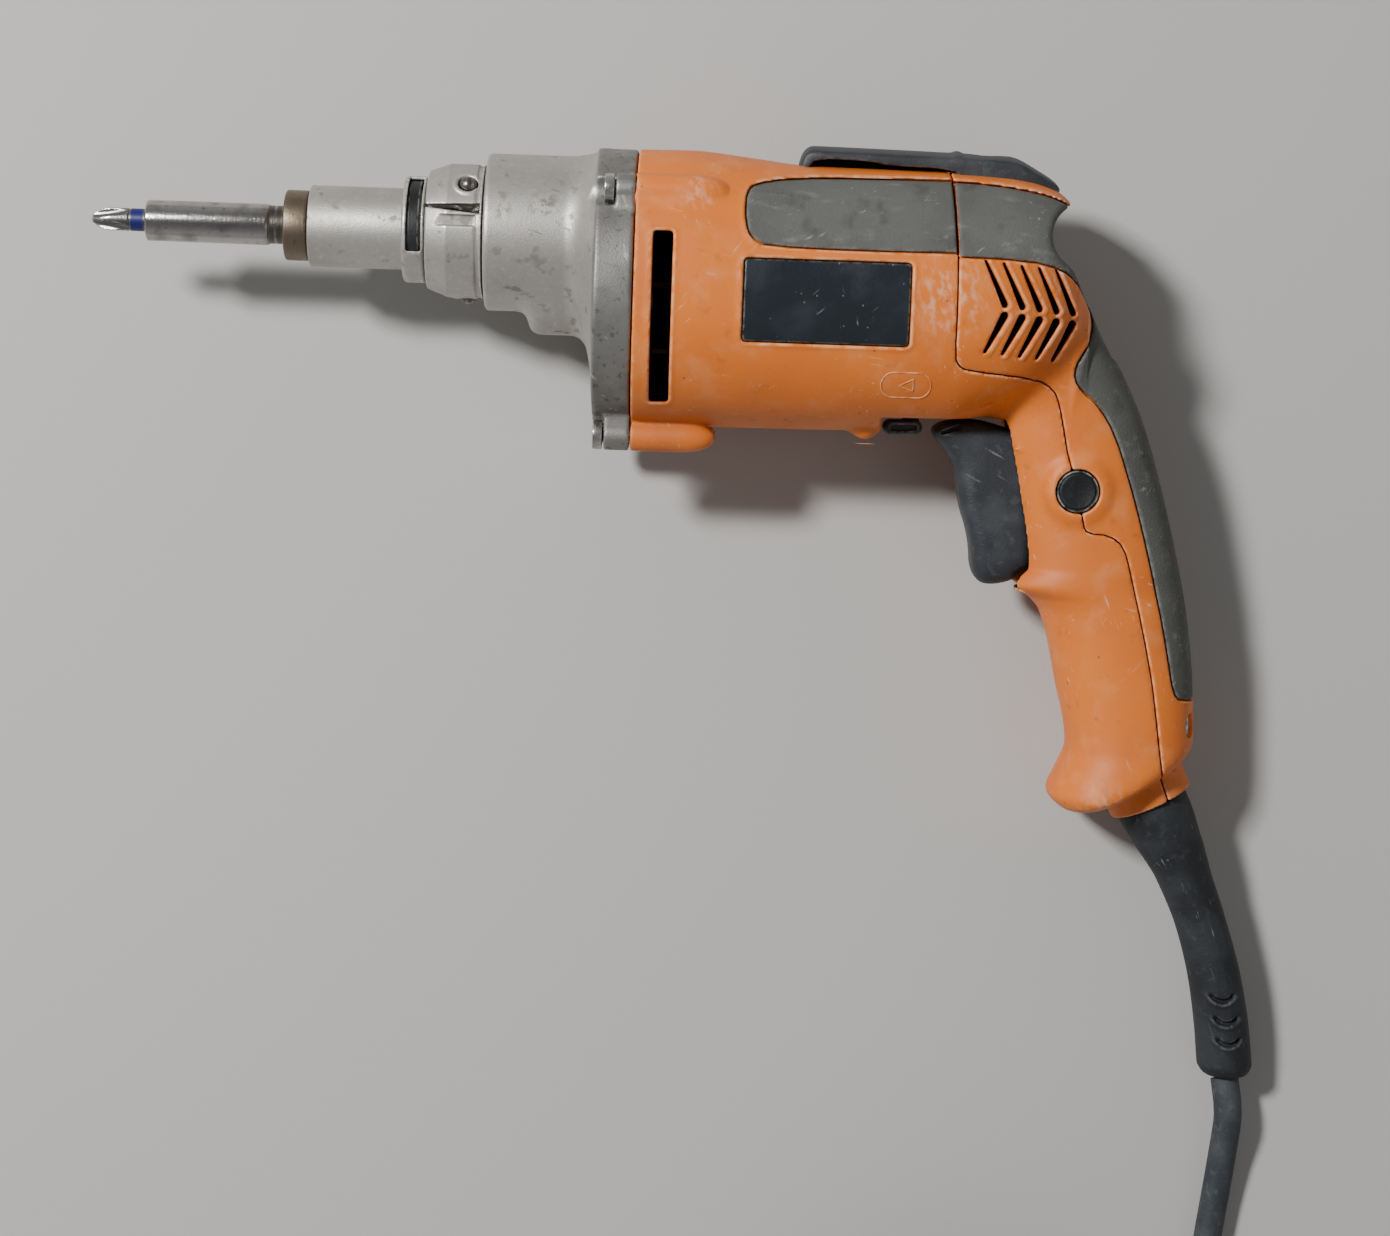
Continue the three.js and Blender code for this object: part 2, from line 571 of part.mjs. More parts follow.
function driveGear() {
  const hubEnd = PLATE_X - GAP;
  const wheel = bar(toothOutline(GEAR_TEETH, 0, 0), GEAR_X, GEAR_X + GEAR_WIDTH);
  const hub = rod("x", GEAR_X, hubEnd, 0, 0, GEAR_HUB_R);
  const bore = rod("x", GEAR_X - FAR, hubEnd + FAR, 0, 0, SPINDLE_TAIL_R + GAP);
  const halfPitch = Math.PI / DOG_COUNT;
  return cut(join(wheel, hub, ...dogs(GEAR_X - DOG_HEIGHT, GEAR_X + DOG_ROOT, halfPitch)), bore);
}

function clutchSpring() {
  const from = clutchRear + GAP + SPRING_WIRE_R;
  const to = GEAR_X - GAP - SPRING_WIRE_R;
  const steps = Math.round(SPRING_TURNS * 12);
  const points = Array.from({ length: steps + 1 }, (_, i) => {
    const angle = (2 * Math.PI * SPRING_TURNS * i) / steps;
    const x = from + ((to - from) * i) / steps;
    return new THREE.Vector3(x, SPRING_R * Math.cos(angle), SPRING_R * Math.sin(angle));
  });
  return sweep(points, SPRING_WIRE_R, 6, steps);
}

const thrustWasher = () =>
  ring(CLUTCH_X - GAP - WASHER_THICKNESS, CLUTCH_X - GAP, HOLDER_R + GAP, CLUTCH_R);

// ---------------------------------------------------------------- nose
const ballX = DETENT_X + DETENT_LENGTH - BALL_INSET_X;

const noseCollar = () =>
  turned([
    [COLLAR_X, HOLDER_R + GAP], [COLLAR_X, COLLAR_R - 0.7], [COLLAR_X + 0.7, COLLAR_R],
    [NOSE_X - GAP, COLLAR_R], [NOSE_X - GAP, HOLDER_R + GAP],
  ]);

function noseTube() {
  const rear = NOSE_FLANGE_X + NOSE_FLANGE_THICKNESS;
  return turned([
    [NOSE_X, NOSE_BORE_R], [NOSE_X, NOSE_R - 0.6], [NOSE_X + 0.6, NOSE_R], [NOSE_FLANGE_X, NOSE_R],
    [NOSE_FLANGE_X, NOSE_FLANGE_R], [rear, NOSE_FLANGE_R], [rear, NOSE_BORE_R],
  ]);
}

const spindleBearing = () =>
  ring(NOSE_X + 1, NOSE_X + 1 + BEARING_LENGTH, HOLDER_R + GAP, NOSE_BORE_R - GAP);

function lockRing() {
  const end = LOCK_RING_X + LOCK_RING_LENGTH;
  const band = turned([
    [LOCK_RING_X, NOSE_R + GAP], [LOCK_RING_X, LOCK_RING_R - 0.6], [LOCK_RING_X + 0.6, LOCK_RING_R],
    [end - 0.4, LOCK_RING_R], [end, LOCK_RING_R - 0.4], [end, NOSE_R + GAP],
  ]);
  const { from, to, z, side } = LOCK_RING_SLOT;
  const slot = block([LOCK_RING_X + side, from, z], [end - side, to, FAR]);
  const seat = ring(LOCK_RING_X + 1.2, end - 1.2, NOSE_R + GAP - 1, LOCK_RING_R - 0.9);
  return cut(band, slot, seat);
}

function lockSpring() {
  const middle = LOCK_RING_X + LOCK_RING_LENGTH / 2;
  const radius = NOSE_R + GAP + LOCK_SPRING_WIRE_R + 0.2;
  const steps = 20;
  const points = Array.from({ length: steps + 1 }, (_, i) => {
    const angle = (2 * Math.PI * LOCK_SPRING_TURN * i) / steps;
    return new THREE.Vector3(middle, radius * Math.cos(angle), radius * Math.sin(angle));
  });
  return sweep(points, LOCK_SPRING_WIRE_R, 6, steps);
}

function detentCollar() {
  const end = DETENT_X + DETENT_LENGTH;
  const body = turned([
    [DETENT_X, NOSE_R + GAP], [DETENT_X, DETENT_FRONT_R], [DETENT_X + DETENT_CONE, DETENT_R],
    [end - 1.8, DETENT_R], [end - 1.6, DETENT_R - 0.5], [end - 0.6, DETENT_R - 0.5],
    [end - 0.4, DETENT_R + 0.2], [end, DETENT_R + 0.2], [end, NOSE_R + GAP],
  ]);
  const pockets = BALL_ANGLES.map((angle) => {
    const pocket = new THREE.CylinderGeometry(BALL_R + GAP, BALL_R + GAP, DETENT_R, FEW);
    const middle = NOSE_R + BALL_FLOOR + DETENT_R / 2;
    pocket.translate(0, middle, 0).rotateX(angle).translate(ballX, 0, 0);
    return toSolid(pocket);
  });
  const { y, width, z, rear } = DETENT_SLOT;
  return cut(body, block([DETENT_X - 1, y, z], [end - rear, y + width, FAR]), ...pockets);
}

function detentBall(angle) {
  const ball = new THREE.SphereGeometry(BALL_R, FEW, 8);
  ball.translate(0, DETENT_R + BALL_PROUD - BALL_R, 0).rotateX(angle).translate(ballX, 0, 0);
  return toSolid(ball);
}

// ---------------------------------------------------------------- gear case and plate
const circle = (x, y, r) =>
  section(y, r, r, 2).map(([a, b]) => new THREE.Vector3(x, a, b));

// Rings of the gear case, moved inwards by `inset` and closed `front` behind its face.
function caseRings(inset, front) {
  const shoulder = -FLANGE_LENGTH - SHOULDER_LENGTH;
  const rings = [circle(CASE_X + front, 0, CASE_R - inset - EDGE)];
  rings.push(circle(CASE_X + front + EDGE, 0, CASE_R - inset));
  const steps = 5;
  for (let i = 0; i <= steps; i++) {
    const angle = (Math.PI / 2) * (i / steps);
    const along = shoulder + SHOULDER_LENGTH * Math.sin(angle) + inset * 0.4;
    const share = 1 - Math.cos(angle);
    rings.push(circle(along, FLANGE_Y * share, CASE_R + (FLANGE_R - CASE_R) * share - inset));
  }
  rings.push(circle(front > 0 ? 1 : -GAP / 2, FLANGE_Y, FLANGE_R - inset));
  return rings;
}

function screwHoles(radius, from, to) {
  return CASE_SCREWS.map(({ y, z }) => rod("x", from, to, y, z, radius, radius, FEW));
}

function gearCase() {
  const shell = loft(caseRings(0, 0));
  const pinionBoss = turned([
    [PINION_BOSS_X, 0], [PINION_BOSS_X, PINION_BOSS_R - 2.5], [PINION_BOSS_X + 2.5, PINION_BOSS_R],
    [-FLANGE_LENGTH - 1.5, PINION_BOSS_R], [-FLANGE_LENGTH - 1.5, 0],
  ], MOTOR_Y);
  const bosses = CASE_SCREWS.flatMap(({ y, z, x }) => {
    const inwards = Math.sign(FLANGE_Y - y) * BOSS_R * 1.4;
    const [low, high] = [y, y + inwards].sort((a, b) => a - b);
    return [
      rod("x", x, -GAP / 2, y, z, BOSS_R, BOSS_R, FEW),
      block([x, low, z - BOSS_R + BOSS_RIB], [-GAP / 2, high, z + BOSS_R - BOSS_RIB]),
    ];
  });
  const pocketR = SCREW_HEAD_R + SCREW_POCKET.play;
  const pockets = CASE_SCREWS.map(({ y, z, x }) =>
    rod("x", x - SCREW_POCKET.length, x, y, z, pocketR, pocketR, FEW));
  const bore = rod("x", CASE_X - 1, CASE_X + CASE_FRONT_WALL + 1, 0, 0, NOSE_R + GAP);
  const roomX = PINION_BOSS_X + PINION_BOSS_WALL;
  const pinionRoom = rod("x", roomX, -FLANGE_LENGTH, MOTOR_Y, 0, PINION_BOSS_R - PINION_BOSS_WALL);
  const hollow = loft(caseRings(CASE_WALL, CASE_FRONT_WALL));
  const outer = join(cut(join(shell, pinionBoss), hollow, pinionRoom, ...pockets), ...bosses);
  return cut(outer, bore, hollow, ...screwHoles(SCREW_R + GAP, -FAR, 1));
}

function bearingPlate() {
  const radius = FLANGE_R - CASE_WALL - GAP;
  const disc = rod("x", PLATE_X, -GAP, FLANGE_Y, 0, radius);
  const seat = rod("x", PLATE_X, PLATE_X + PLATE_THICKNESS, MOTOR_Y, 0, FRONT_BEARING_R + BEARING_SEAT);
  const holes = [
    rod("x", -FAR, FAR, MOTOR_Y, 0, FRONT_BEARING_R + GAP),
    rod("x", -FAR, FAR, 0, 0, SPINDLE_TAIL_R + GAP),
    ...screwHoles(SCREW_HEAD_R, -FAR, FAR),
  ];
  return cut(join(disc, seat), ...holes);
}

// ---------------------------------------------------------------- motor
function armatureShaft() {
  const end = REAR_BEARING_X + REAR_BEARING_LENGTH;
  const shaft = rod("x", PLATE_X - 3.5, end, MOTOR_Y, 0, SHAFT_R, SHAFT_R, FEW);
  const meshTurn = Math.PI + (2 * Math.PI) / PINION_TEETH / 2;
  const facing = Math.PI - meshTurn;
  const pinion = bar(toothOutline(PINION_TEETH, MOTOR_Y, facing), GEAR_X - 1, PLATE_X - 3);
  return join(shaft, pinion);
}

function armatureCore() {
  const inner = ARMATURE_R - SLOT_DEPTH;
  const pitch = (2 * Math.PI) / CORE_SLOTS;
  const corners = [[-0.38, ARMATURE_R], [0, ARMATURE_R], [0.38, ARMATURE_R], [0.3, inner], [0.7, inner]];
  const outline = Array.from({ length: CORE_SLOTS }, (_, i) =>
    corners.map(([share, r]) => {
      const angle = (i + share) * pitch;
      return [MOTOR_Y + r * Math.cos(angle), r * Math.sin(angle)];
    }),
  ).flat();
  const bore = rod("x", -FAR, FAR, MOTOR_Y, 0, SHAFT_R + GAP, SHAFT_R + GAP, FEW);
  return cut(bar(outline, CORE_X, CORE_X + CORE_LENGTH), bore);
}

function windingHead(x0, x1) {
  const bulge = (x1 - x0) * 0.25;
  return turned([
    [x0, SHAFT_R + 1], [x0, ARMATURE_R - 4.5], [x0 + bulge, ARMATURE_R - 1.5],
    [x1 - bulge, ARMATURE_R - 1.5], [x1, ARMATURE_R - 4.5], [x1, SHAFT_R + 1],
  ], MOTOR_Y);
}

const commutator = () =>
  ring(COMMUTATOR_X, COMMUTATOR_X + COMMUTATOR_LENGTH, SHAFT_R + GAP, COMMUTATOR_R, MOTOR_Y);

function fan() {
  const hubR = SHAFT_R + FAN_HUB;
  const end = FAN_X + FAN_LENGTH;
  const hub = ring(FAN_X, end, SHAFT_R + GAP, hubR, MOTOR_Y);
  const disc = ring(end - FAN_SHEET, end, hubR - 1, FAN_R, MOTOR_Y, 24);
  const blades = Array.from({ length: FAN_BLADES }, (_, i) => {
    const blade = new THREE.BoxGeometry(FAN_LENGTH - 1, FAN_R - hubR, FAN_SHEET);
    blade.translate(FAN_X + (FAN_LENGTH - 1) / 2 + GAP, (FAN_R + hubR - 1) / 2, 0);
    blade.rotateX((2 * Math.PI * i) / FAN_BLADES).translate(0, MOTOR_Y, 0);
    return toSolid(blade);
  });
  return join(hub, disc, ...blades);
}

const ballBearing = (x, end, radius) => ring(x, end, SHAFT_R + GAP, radius, MOTOR_Y);
const frontBearing = () => ballBearing(PLATE_X + GAP, PLATE_X + PLATE_THICKNESS - GAP, FRONT_BEARING_R);
const rearBearing = () =>
  ballBearing(REAR_BEARING_X, REAR_BEARING_X + REAR_BEARING_LENGTH, REAR_BEARING_R);

// A bent block between two radii about the motor axis, centred on the angle `middle`.
function arc(x0, x1, inner, outer, middle, spread) {
  const steps = 8;
  const edge = (r) => (_, i) => {
    const angle = middle + spread * (i / steps - 0.5);
    return [MOTOR_Y + r * Math.cos(angle), r * Math.sin(angle)];
  };
  const outside = Array.from({ length: steps + 1 }, edge(outer));
  const inside = Array.from({ length: steps + 1 }, edge(inner)).reverse();
  return bar([...outside, ...inside], x0, x1);
}

const fieldX = CORE_X - FIELD_LIP;
const fieldEnd = CORE_X + CORE_LENGTH + FIELD_LIP;

function fieldCore() {
  const rim = ring(fieldX, fieldEnd, FIELD_R - FIELD_RIM, FIELD_R, MOTOR_Y, 24);
  const poles = [0, Math.PI].map((middle) =>
    arc(fieldX, fieldEnd, FIELD_BORE_R, FIELD_R - FIELD_RIM / 2, middle, POLE_SPREAD));
  return join(rim, ...poles);
}

function fieldCoil(middle) {
  const { inner, outer } = COIL_DEPTH;
  const winding = arc(fieldX - COIL_OVERHANG, fieldEnd + COIL_OVERHANG, FIELD_BORE_R + inner,
    FIELD_R - outer, middle, COIL_SPREAD);
  const window = arc(fieldX - GAP, fieldEnd + GAP, FIELD_BORE_R - inner, FIELD_R, middle, COIL_WINDOW);
  return cut(winding, window);
}

function brushHolder(side) {
  const room = BRUSH_SIZE / 2 + GAP;
  const { wall, start, length, bore } = BRUSH_HOLDER;
  const { from, to, end } = BRUSH_FOOT;
  const half = room + wall;
  const z0 = COMMUTATOR_R + start;
  const [low, high] = [MOTOR_Y - half, MOTOR_Y + half];
  const sleeve = block([BRUSH_X - half, low, z0], [BRUSH_X + half, high, z0 + length]);
  const foot = block([BRUSH_X, low, z0 + from], [REAR_BEARING_X - end, high, z0 + to]);
  const channel = block([BRUSH_X - room, MOTOR_Y - room, 0], [BRUSH_X + room, MOTOR_Y + room, z0 + bore]);
  const holder = cut(join(sleeve, foot), channel);
  return side > 0 ? holder : mirrored(holder);
}

function mirrored(solid) {
  return toSolid(toGeometry(solid).scale(1, 1, -1));
}

function carbonBrush(side) {
  const half = BRUSH_SIZE / 2;
  const from = COMMUTATOR_R + GAP;
  const to = from + BRUSH_LENGTH;
  const brush = block([BRUSH_X - half, MOTOR_Y - half, from], [BRUSH_X + half, MOTOR_Y + half, to]);
  return side > 0 ? brush : mirrored(brush);
}

// ---------------------------------------------------------------- housing and cover
const bootAxis = new THREE.Vector3(BOOT[1].x - BOOT[0].x, BOOT[1].y - BOOT[0].y, 0).normalize();
const bootStart = new THREE.Vector3(BOOT[0].x, BOOT[0].y, BOOT[0].z);

// A round rod along the strain relief's axis, from `from` to `to` measured from its visible start.
function bootRod(from, to, radius) {
  const geometry = new THREE.CylinderGeometry(radius, radius, to - from, ROUND);
  geometry.translate(0, (from + to) / 2, 0);
  const turn = new THREE.Quaternion().setFromUnitVectors(new THREE.Vector3(0, 1, 0), bootAxis);
  return toSolid(geometry.applyQuaternion(turn).translate(...bootStart));
}

// The whole plastic body before it is split, hollowed and cut, moved inwards by `inset`.
function bodyForm(inset, sides = BODY_SIDES) {
  const barrel = BARREL.map((station, i) => ({ ...station, x: station.x - (i < BARREL_END ? 0 : inset) }));
  barrel[0] = { ...barrel[0], x: inset > 0 ? -1 : GAP / 2 };
  const step = [
    [BELLY_STEP.x - inset, BELLY_STEP.y + inset], [FAR, BELLY_STEP.y + inset], [FAR, -FAR],
    [BELLY_STEP.x - inset, -FAR],
  ];
  const front = cut(loft(barrelRings(barrel, inset, sides)), slab(step, -FAR, FAR));
  const last = GRIP.length - 1;
  const grip = GRIP.map((station, i) => ({ ...station, y: station.y + (i === last ? inset : 0) }));
  const rear = loft(gripRings(grip, inset, sides));
  const notch = rod("z", -FAR, FAR, WEB_NOTCH.x, WEB_NOTCH.y, WEB_NOTCH.r + inset);
  return cut(join(front, rear), notch);
}

const skin = bodyForm(0);
const hollow = bodyForm(WALL, HOLLOW_SIDES);
const underRubber = bodyForm(RUBBER);
const underRubberPocket = bodyForm(RUBBER + GAP);

// Everything behind the seam, with the seam moved `shift` to the rear.
const behindSeam = (shift) => {
  const edge = shifted(SEAM, shift);
  const [startX] = edge[0];
  const [endX] = edge.at(-1);
  return slab([[startX - 0.6, 40], ...edge, [endX, -FAR], [FAR, -FAR], [FAR, 40]], -FAR, FAR);
};

function outerBody() {
  const caseBosses = CASE_SCREWS.map(({ y, z, taper }) =>
    rod("x", GAP / 2, BOSS_LENGTH, y, z, BOSS_R, BOSS_R - taper, FEW));
  const bump = rod("z", -BELLY_BUMP.half, BELLY_BUMP.half, BELLY_BUMP.x, BELLY_BUMP.y, BELLY_BUMP.r);
  const lockRim = rod("z", 12, LOCK.wallZ + LOCK.proud, LOCK.x, LOCK.y, LOCK.ringR);
  const skirt = bootRod(-SKIRT_LENGTH, 0, SKIRT_R);
  const beyondSkirt = bootRod(0, 3 * SKIRT_R, 2 * SKIRT_R);
  return cut(join(skin, ...caseBosses, bump, lockRim, skirt), beyondSkirt);
}

const louverOutline = (i) => {
  const { x, pitch, width, bend, top, mid, bottom } = LOUVER;
  const left = x + i * pitch;
  return [
    [left - bend, top], [left, mid], [left - bend, bottom],
    [left - bend + width, bottom], [left + width, mid], [left - bend + width, top],
  ];
};

const lockCollarTop = LOCK.wallZ - WALL - LOCK_COLLAR.play;

// Cuts that both shells share.
function openings() {
  const { x, y, width, height } = VENT;
  const vent = slab([[x, y], [x + width, y], [x + width, y + height], [x, y + height]], 20, FAR);
  const louvers = Array.from({ length: LOUVER.count }, (_, i) => slab(louverOutline(i), 21, FAR));
  const slot = TRIGGER_SLOT;
  const slotHalf = TRIGGER.half + slot.play;
  const triggerSlot = block([slot.x, slot.bottom, -slotHalf], [slot.rear, BELLY_STEP.y, slotHalf]);
  const lockHole = rod("z", 0, FAR, LOCK.x, LOCK.y, LOCK.r + GAP);
  const leverHole = rod("y", -60, 0, LEVER.pivotX, 0, LEVER.pinR + GAP);
  const bootHole = bootRod(-SKIRT_LENGTH - 1, 1, BOOT_FLANGE.neckR + GAP);
  const flangeEnd = -SKIRT_LENGTH - BOOT_FLANGE.length - 2 * GAP;
  const bootRoom = bootRod(flangeEnd, -SKIRT_LENGTH, BOOT_FLANGE.r + GAP);
  const collarRoom = rod("z", 0, lockCollarTop + GAP, LOCK.x, LOCK.y, LOCK.r + LOCK_COLLAR.width + GAP);
  return [
    vent, mirrored(vent), ...louvers, ...louvers.map(mirrored), triggerSlot, lockHole, leverHole,
    bootHole, bootRoom, collarRoom, ...screwHoles(SCREW_R + GAP, -1, CASE_SCREWS[0].x + SCREW_LENGTH + 1),
  ];
}

// The ring that carries the motor's rear bearing, on a bar across the housing.
function bearingWeb() {
  const { side, half, wall } = BEARING_WEB;
  const x0 = REAR_BEARING_X - side;
  const x1 = REAR_BEARING_X + REAR_BEARING_LENGTH + side;
  const crossbar = block([x0, MOTOR_Y - half, -FAR], [x1, MOTOR_Y + half, FAR]);
  const seat = rod("x", x0, x1, MOTOR_Y, 0, REAR_BEARING_R + wall);
  const bore = rod("x", -FAR, FAR, MOTOR_Y, 0, REAR_BEARING_R + GAP);
  return cut(join(crossbar, seat), bore).intersect(bodyForm(WALL / 2, HOLLOW_SIDES));
}

// A shell region under a side outline on one side of the tool, thicker than the rubber is deep.
const sideZone = (outline, side) => (side > 0 ? slab(outline, 12, FAR) : slab(outline, -FAR, -12));
const grown = (outline) => {
  const middleX = outline.reduce((sum, [x]) => sum + x, 0) / outline.length;
  const middleY = outline.reduce((sum, [, y]) => sum + y, 0) / outline.length;
  return outline.map(([x, y]) => {
    const away = Math.hypot(x - middleX, y - middleY);
    return [x + ((x - middleX) * GAP * 1.6) / away, y + ((y - middleY) * GAP * 1.6) / away];
  });
};

function sideGrip(side) {
  return cut(skin.intersect(sideZone(underTop(SIDE_GRIP), side)), underRubber, behindSeam(-GAP / 2));
}

const labelOutline = (grow) => {
  const { x, y, length, height } = LABEL;
  return [
    [x - grow, y - grow], [x + length + grow, y - grow],
    [x + length + grow, y + height + grow], [x - grow, y + height + grow],
  ];
};

function label(side) {
  const base = bodyForm(LABEL.depth - GAP);
  const top = bodyForm(LABEL.depth - GAP - LABEL.thickness + 0.1);
  return cut(top.intersect(sideZone(labelOutline(0), side)), base);
}

function motorHousing() {
  const shell = cut(outerBody(), hollow);
  const front = cut(join(shell, bearingWeb()), behindSeam(-GAP / 2), ...openings());
  const labelRoom = bodyForm(LABEL.depth);
  const pockets = [1, -1].flatMap((side) => [
    cut(sideZone(grown(underTop(SIDE_GRIP)), side), underRubberPocket),
    cut(sideZone(labelOutline(GAP), side), labelRoom),
  ]);
  return cut(front, ...pockets);
}

// The zone of the rear cover that is rubber, its edges moved `shift` outwards.
function rubberZone(shift) {
  const lower = shifted(SPINE, -shift);
  const upper = shifted(underTop(TOP_STRIP), shift).reverse();
  return slab([...lower, [FAR, -122], [FAR, 9], ...upper], -FAR, FAR);
}

function coverGrip() {
  const zone = rubberZone(0).intersect(behindSeam(GAP / 2));
  return cut(skin.intersect(zone), underRubber);
}

function coverScrewRooms() {
  return [COVER_SCREW.z, -COVER_SCREW.z].flatMap((z) => {
    const { x, y, length, pocketR } = COVER_SCREW;
    return [
      rod("x", x, FAR, y, z, pocketR, pocketR, FEW),
      rod("x", x - length - 1, FAR, y, z, COVER_SCREW_R + GAP, COVER_SCREW_R + GAP, FEW),
    ];
  });
}

function coverBosses() {
  const { x, y, z, pocketR } = COVER_SCREW;
  const { front, rear, wall } = COVER_BOSS;
  const r = pocketR + wall;
  return [z, -z].map((across) => rod("x", x - front, x + rear, y, across, r, r, FEW));
}

function rearCover() {
  const shell = cut(outerBody(), hollow);
  const rear = shell.intersect(behindSeam(GAP / 2));
  const inner = bodyForm(WALL / 2);
  const bosses = coverBosses().map((boss) => boss.intersect(inner));
  const pocket = cut(rubberZone(GAP), underRubberPocket);
  const hookHole = rod("y", 0, FAR, HOOK_SCREW.x, 0, COVER_SCREW_R + GAP, COVER_SCREW_R + GAP, FEW);
  return cut(join(rear, ...bosses), pocket, hookHole, ...openings(), ...coverScrewRooms());
}

// ---------------------------------------------------------------- controls and hook
const trigger = () => slab(TRIGGER.outline, -TRIGGER.half, TRIGGER.half, TRIGGER.bevel);

function reversingLever() {
  const { x, length, top, bottom, half, pivotX, pinR } = LEVER;
  const outline = [
    [x, (top + bottom) / 2 - 0.6], [x + 1.4, bottom], [x + length - 1, bottom + 0.4],
    [x + length, top - 1.4], [x + length - 0.4, top], [x + 1.6, top], [x, (top + bottom) / 2 + 0.8],
  ];
  const pin = rod("y", top - 0.5, BELLY_STEP.y + WALL + 1, pivotX, 0, pinR);
  return join(slab(outline, -half, half, 0.8), pin);
}

function lockButton() {
  const face = LOCK.wallZ + LOCK.proud;
  const head = rod("z", lockCollarTop - 1, face, LOCK.x, LOCK.y, LOCK.r, LOCK.r - 0.25);
  const { width, thickness } = LOCK_COLLAR;
  const collar = rod("z", lockCollarTop - thickness, lockCollarTop, LOCK.x, LOCK.y, LOCK.r + width);
  return join(head, collar);
}

function switchBody() {
  const { x, room, y, top, half } = SWITCH;
  return block([x, y, -half], [gripRear(top) - WALL - room, top, half]);
}

function beltHook() {
  const outline = HOOK.outline.map(([x, height]) => [x, BARREL_TOP + height]);
  const plate = slab(outline, -HOOK.half, HOOK.half);
  const hole = rod("y", 0, FAR, HOOK_SCREW.x, 0, COVER_SCREW_R + GAP, COVER_SCREW_R + GAP, FEW);
  const seatY = BARREL_TOP + HOOK_SCREW.height - HOOK_SCREW.seat;
  const seat = rod("y", seatY, FAR, HOOK_SCREW.x, 0, COVER_SCREW_HEAD_R + GAP);
  return cut(plate, hole, seat);
}

// A cap screw along X, its head towards the front (`way` = 1) or the rear (`way` = -1).
function screw(x, y, z, way, headR, head, shankR, length) {
  const cap = way > 0
    ? rod("x", x - head, x, y, z, headR, headR, FEW)
    : rod("x", x, x + head, y, z, headR, headR, FEW);
  const shank = way > 0
    ? rod("x", x - 0.5, x + length, y, z, shankR, shankR, FEW - 4)
    : rod("x", x - length, x + 0.5, y, z, shankR, shankR, FEW - 4);
  const { share, depth } = SCREW_RECESS;
  const face = x - way * head;
  const [low, high] = [face - way, face + way * depth].sort((a, b) => a - b);
  const recess = rod("x", low, high, y, z, headR * share, headR * share, 6);
  return cut(join(cap, shank), recess);
}

const caseScrew = ({ x, y, z }) =>
  screw(x - GAP, y, z, 1, SCREW_HEAD_R, SCREW_HEAD, SCREW_R, SCREW_LENGTH);
function coverScrew(z) {
  const { x, y, head, length } = COVER_SCREW;
  return screw(x + GAP, y, z, -1, COVER_SCREW_HEAD_R, head, COVER_SCREW_R, length);
}

function hookScrew() {
  const { x, height, length, cap } = HOOK_SCREW;
  const face = BARREL_TOP + height;
  const head = rod("y", face - cap, face, x, 0, COVER_SCREW_HEAD_R, COVER_SCREW_HEAD_R, FEW);
  return join(head, rod("y", face - length, face - 1, x, 0, COVER_SCREW_R, COVER_SCREW_R, FEW - 4));
}

// ---------------------------------------------------------------- strain relief and cord
function strainRelief() {
  const points = BOOT.map(({ x, y, z }) => new THREE.Vector3(x, y, z));
  const rings = BOOT.map(({ r }, i) => {
    const from = points[Math.max(i - 1, 0)];
    const to = points[Math.min(i + 1, points.length - 1)];
    const along = i === 0 ? bootAxis : new THREE.Vector3().subVectors(to, from).normalize();
    const across = new THREE.Vector3(0, 0, 1).cross(along).normalize();
    const up = new THREE.Vector3().crossVectors(along, across);
    return section(0, r, r, 2, BOOT_SIDES).map(([a, b]) =>
      points[i].clone().addScaledVector(across, a).addScaledVector(up, b));
  });
  rings[0] = rings[0].map((point) => point.addScaledVector(bootAxis, GAP));
  const { length, r, neckR } = BOOT_FLANGE;
  const inside = SKIRT_LENGTH + GAP;
  return join(loft(rings), bootRod(-inside - length, 1, neckR), bootRod(-inside - length, -inside, r));
}

function cordClamp() {
  const { start, length, r, half } = CLAMP;
  const bridge = bootRod(-start - length, -start, r).intersect(block([0, -FAR, -half], [FAR, FAR, half]));
  return cut(bridge, bootRod(-start - length - 1, 1 - start, CORD_R + GAP));
}

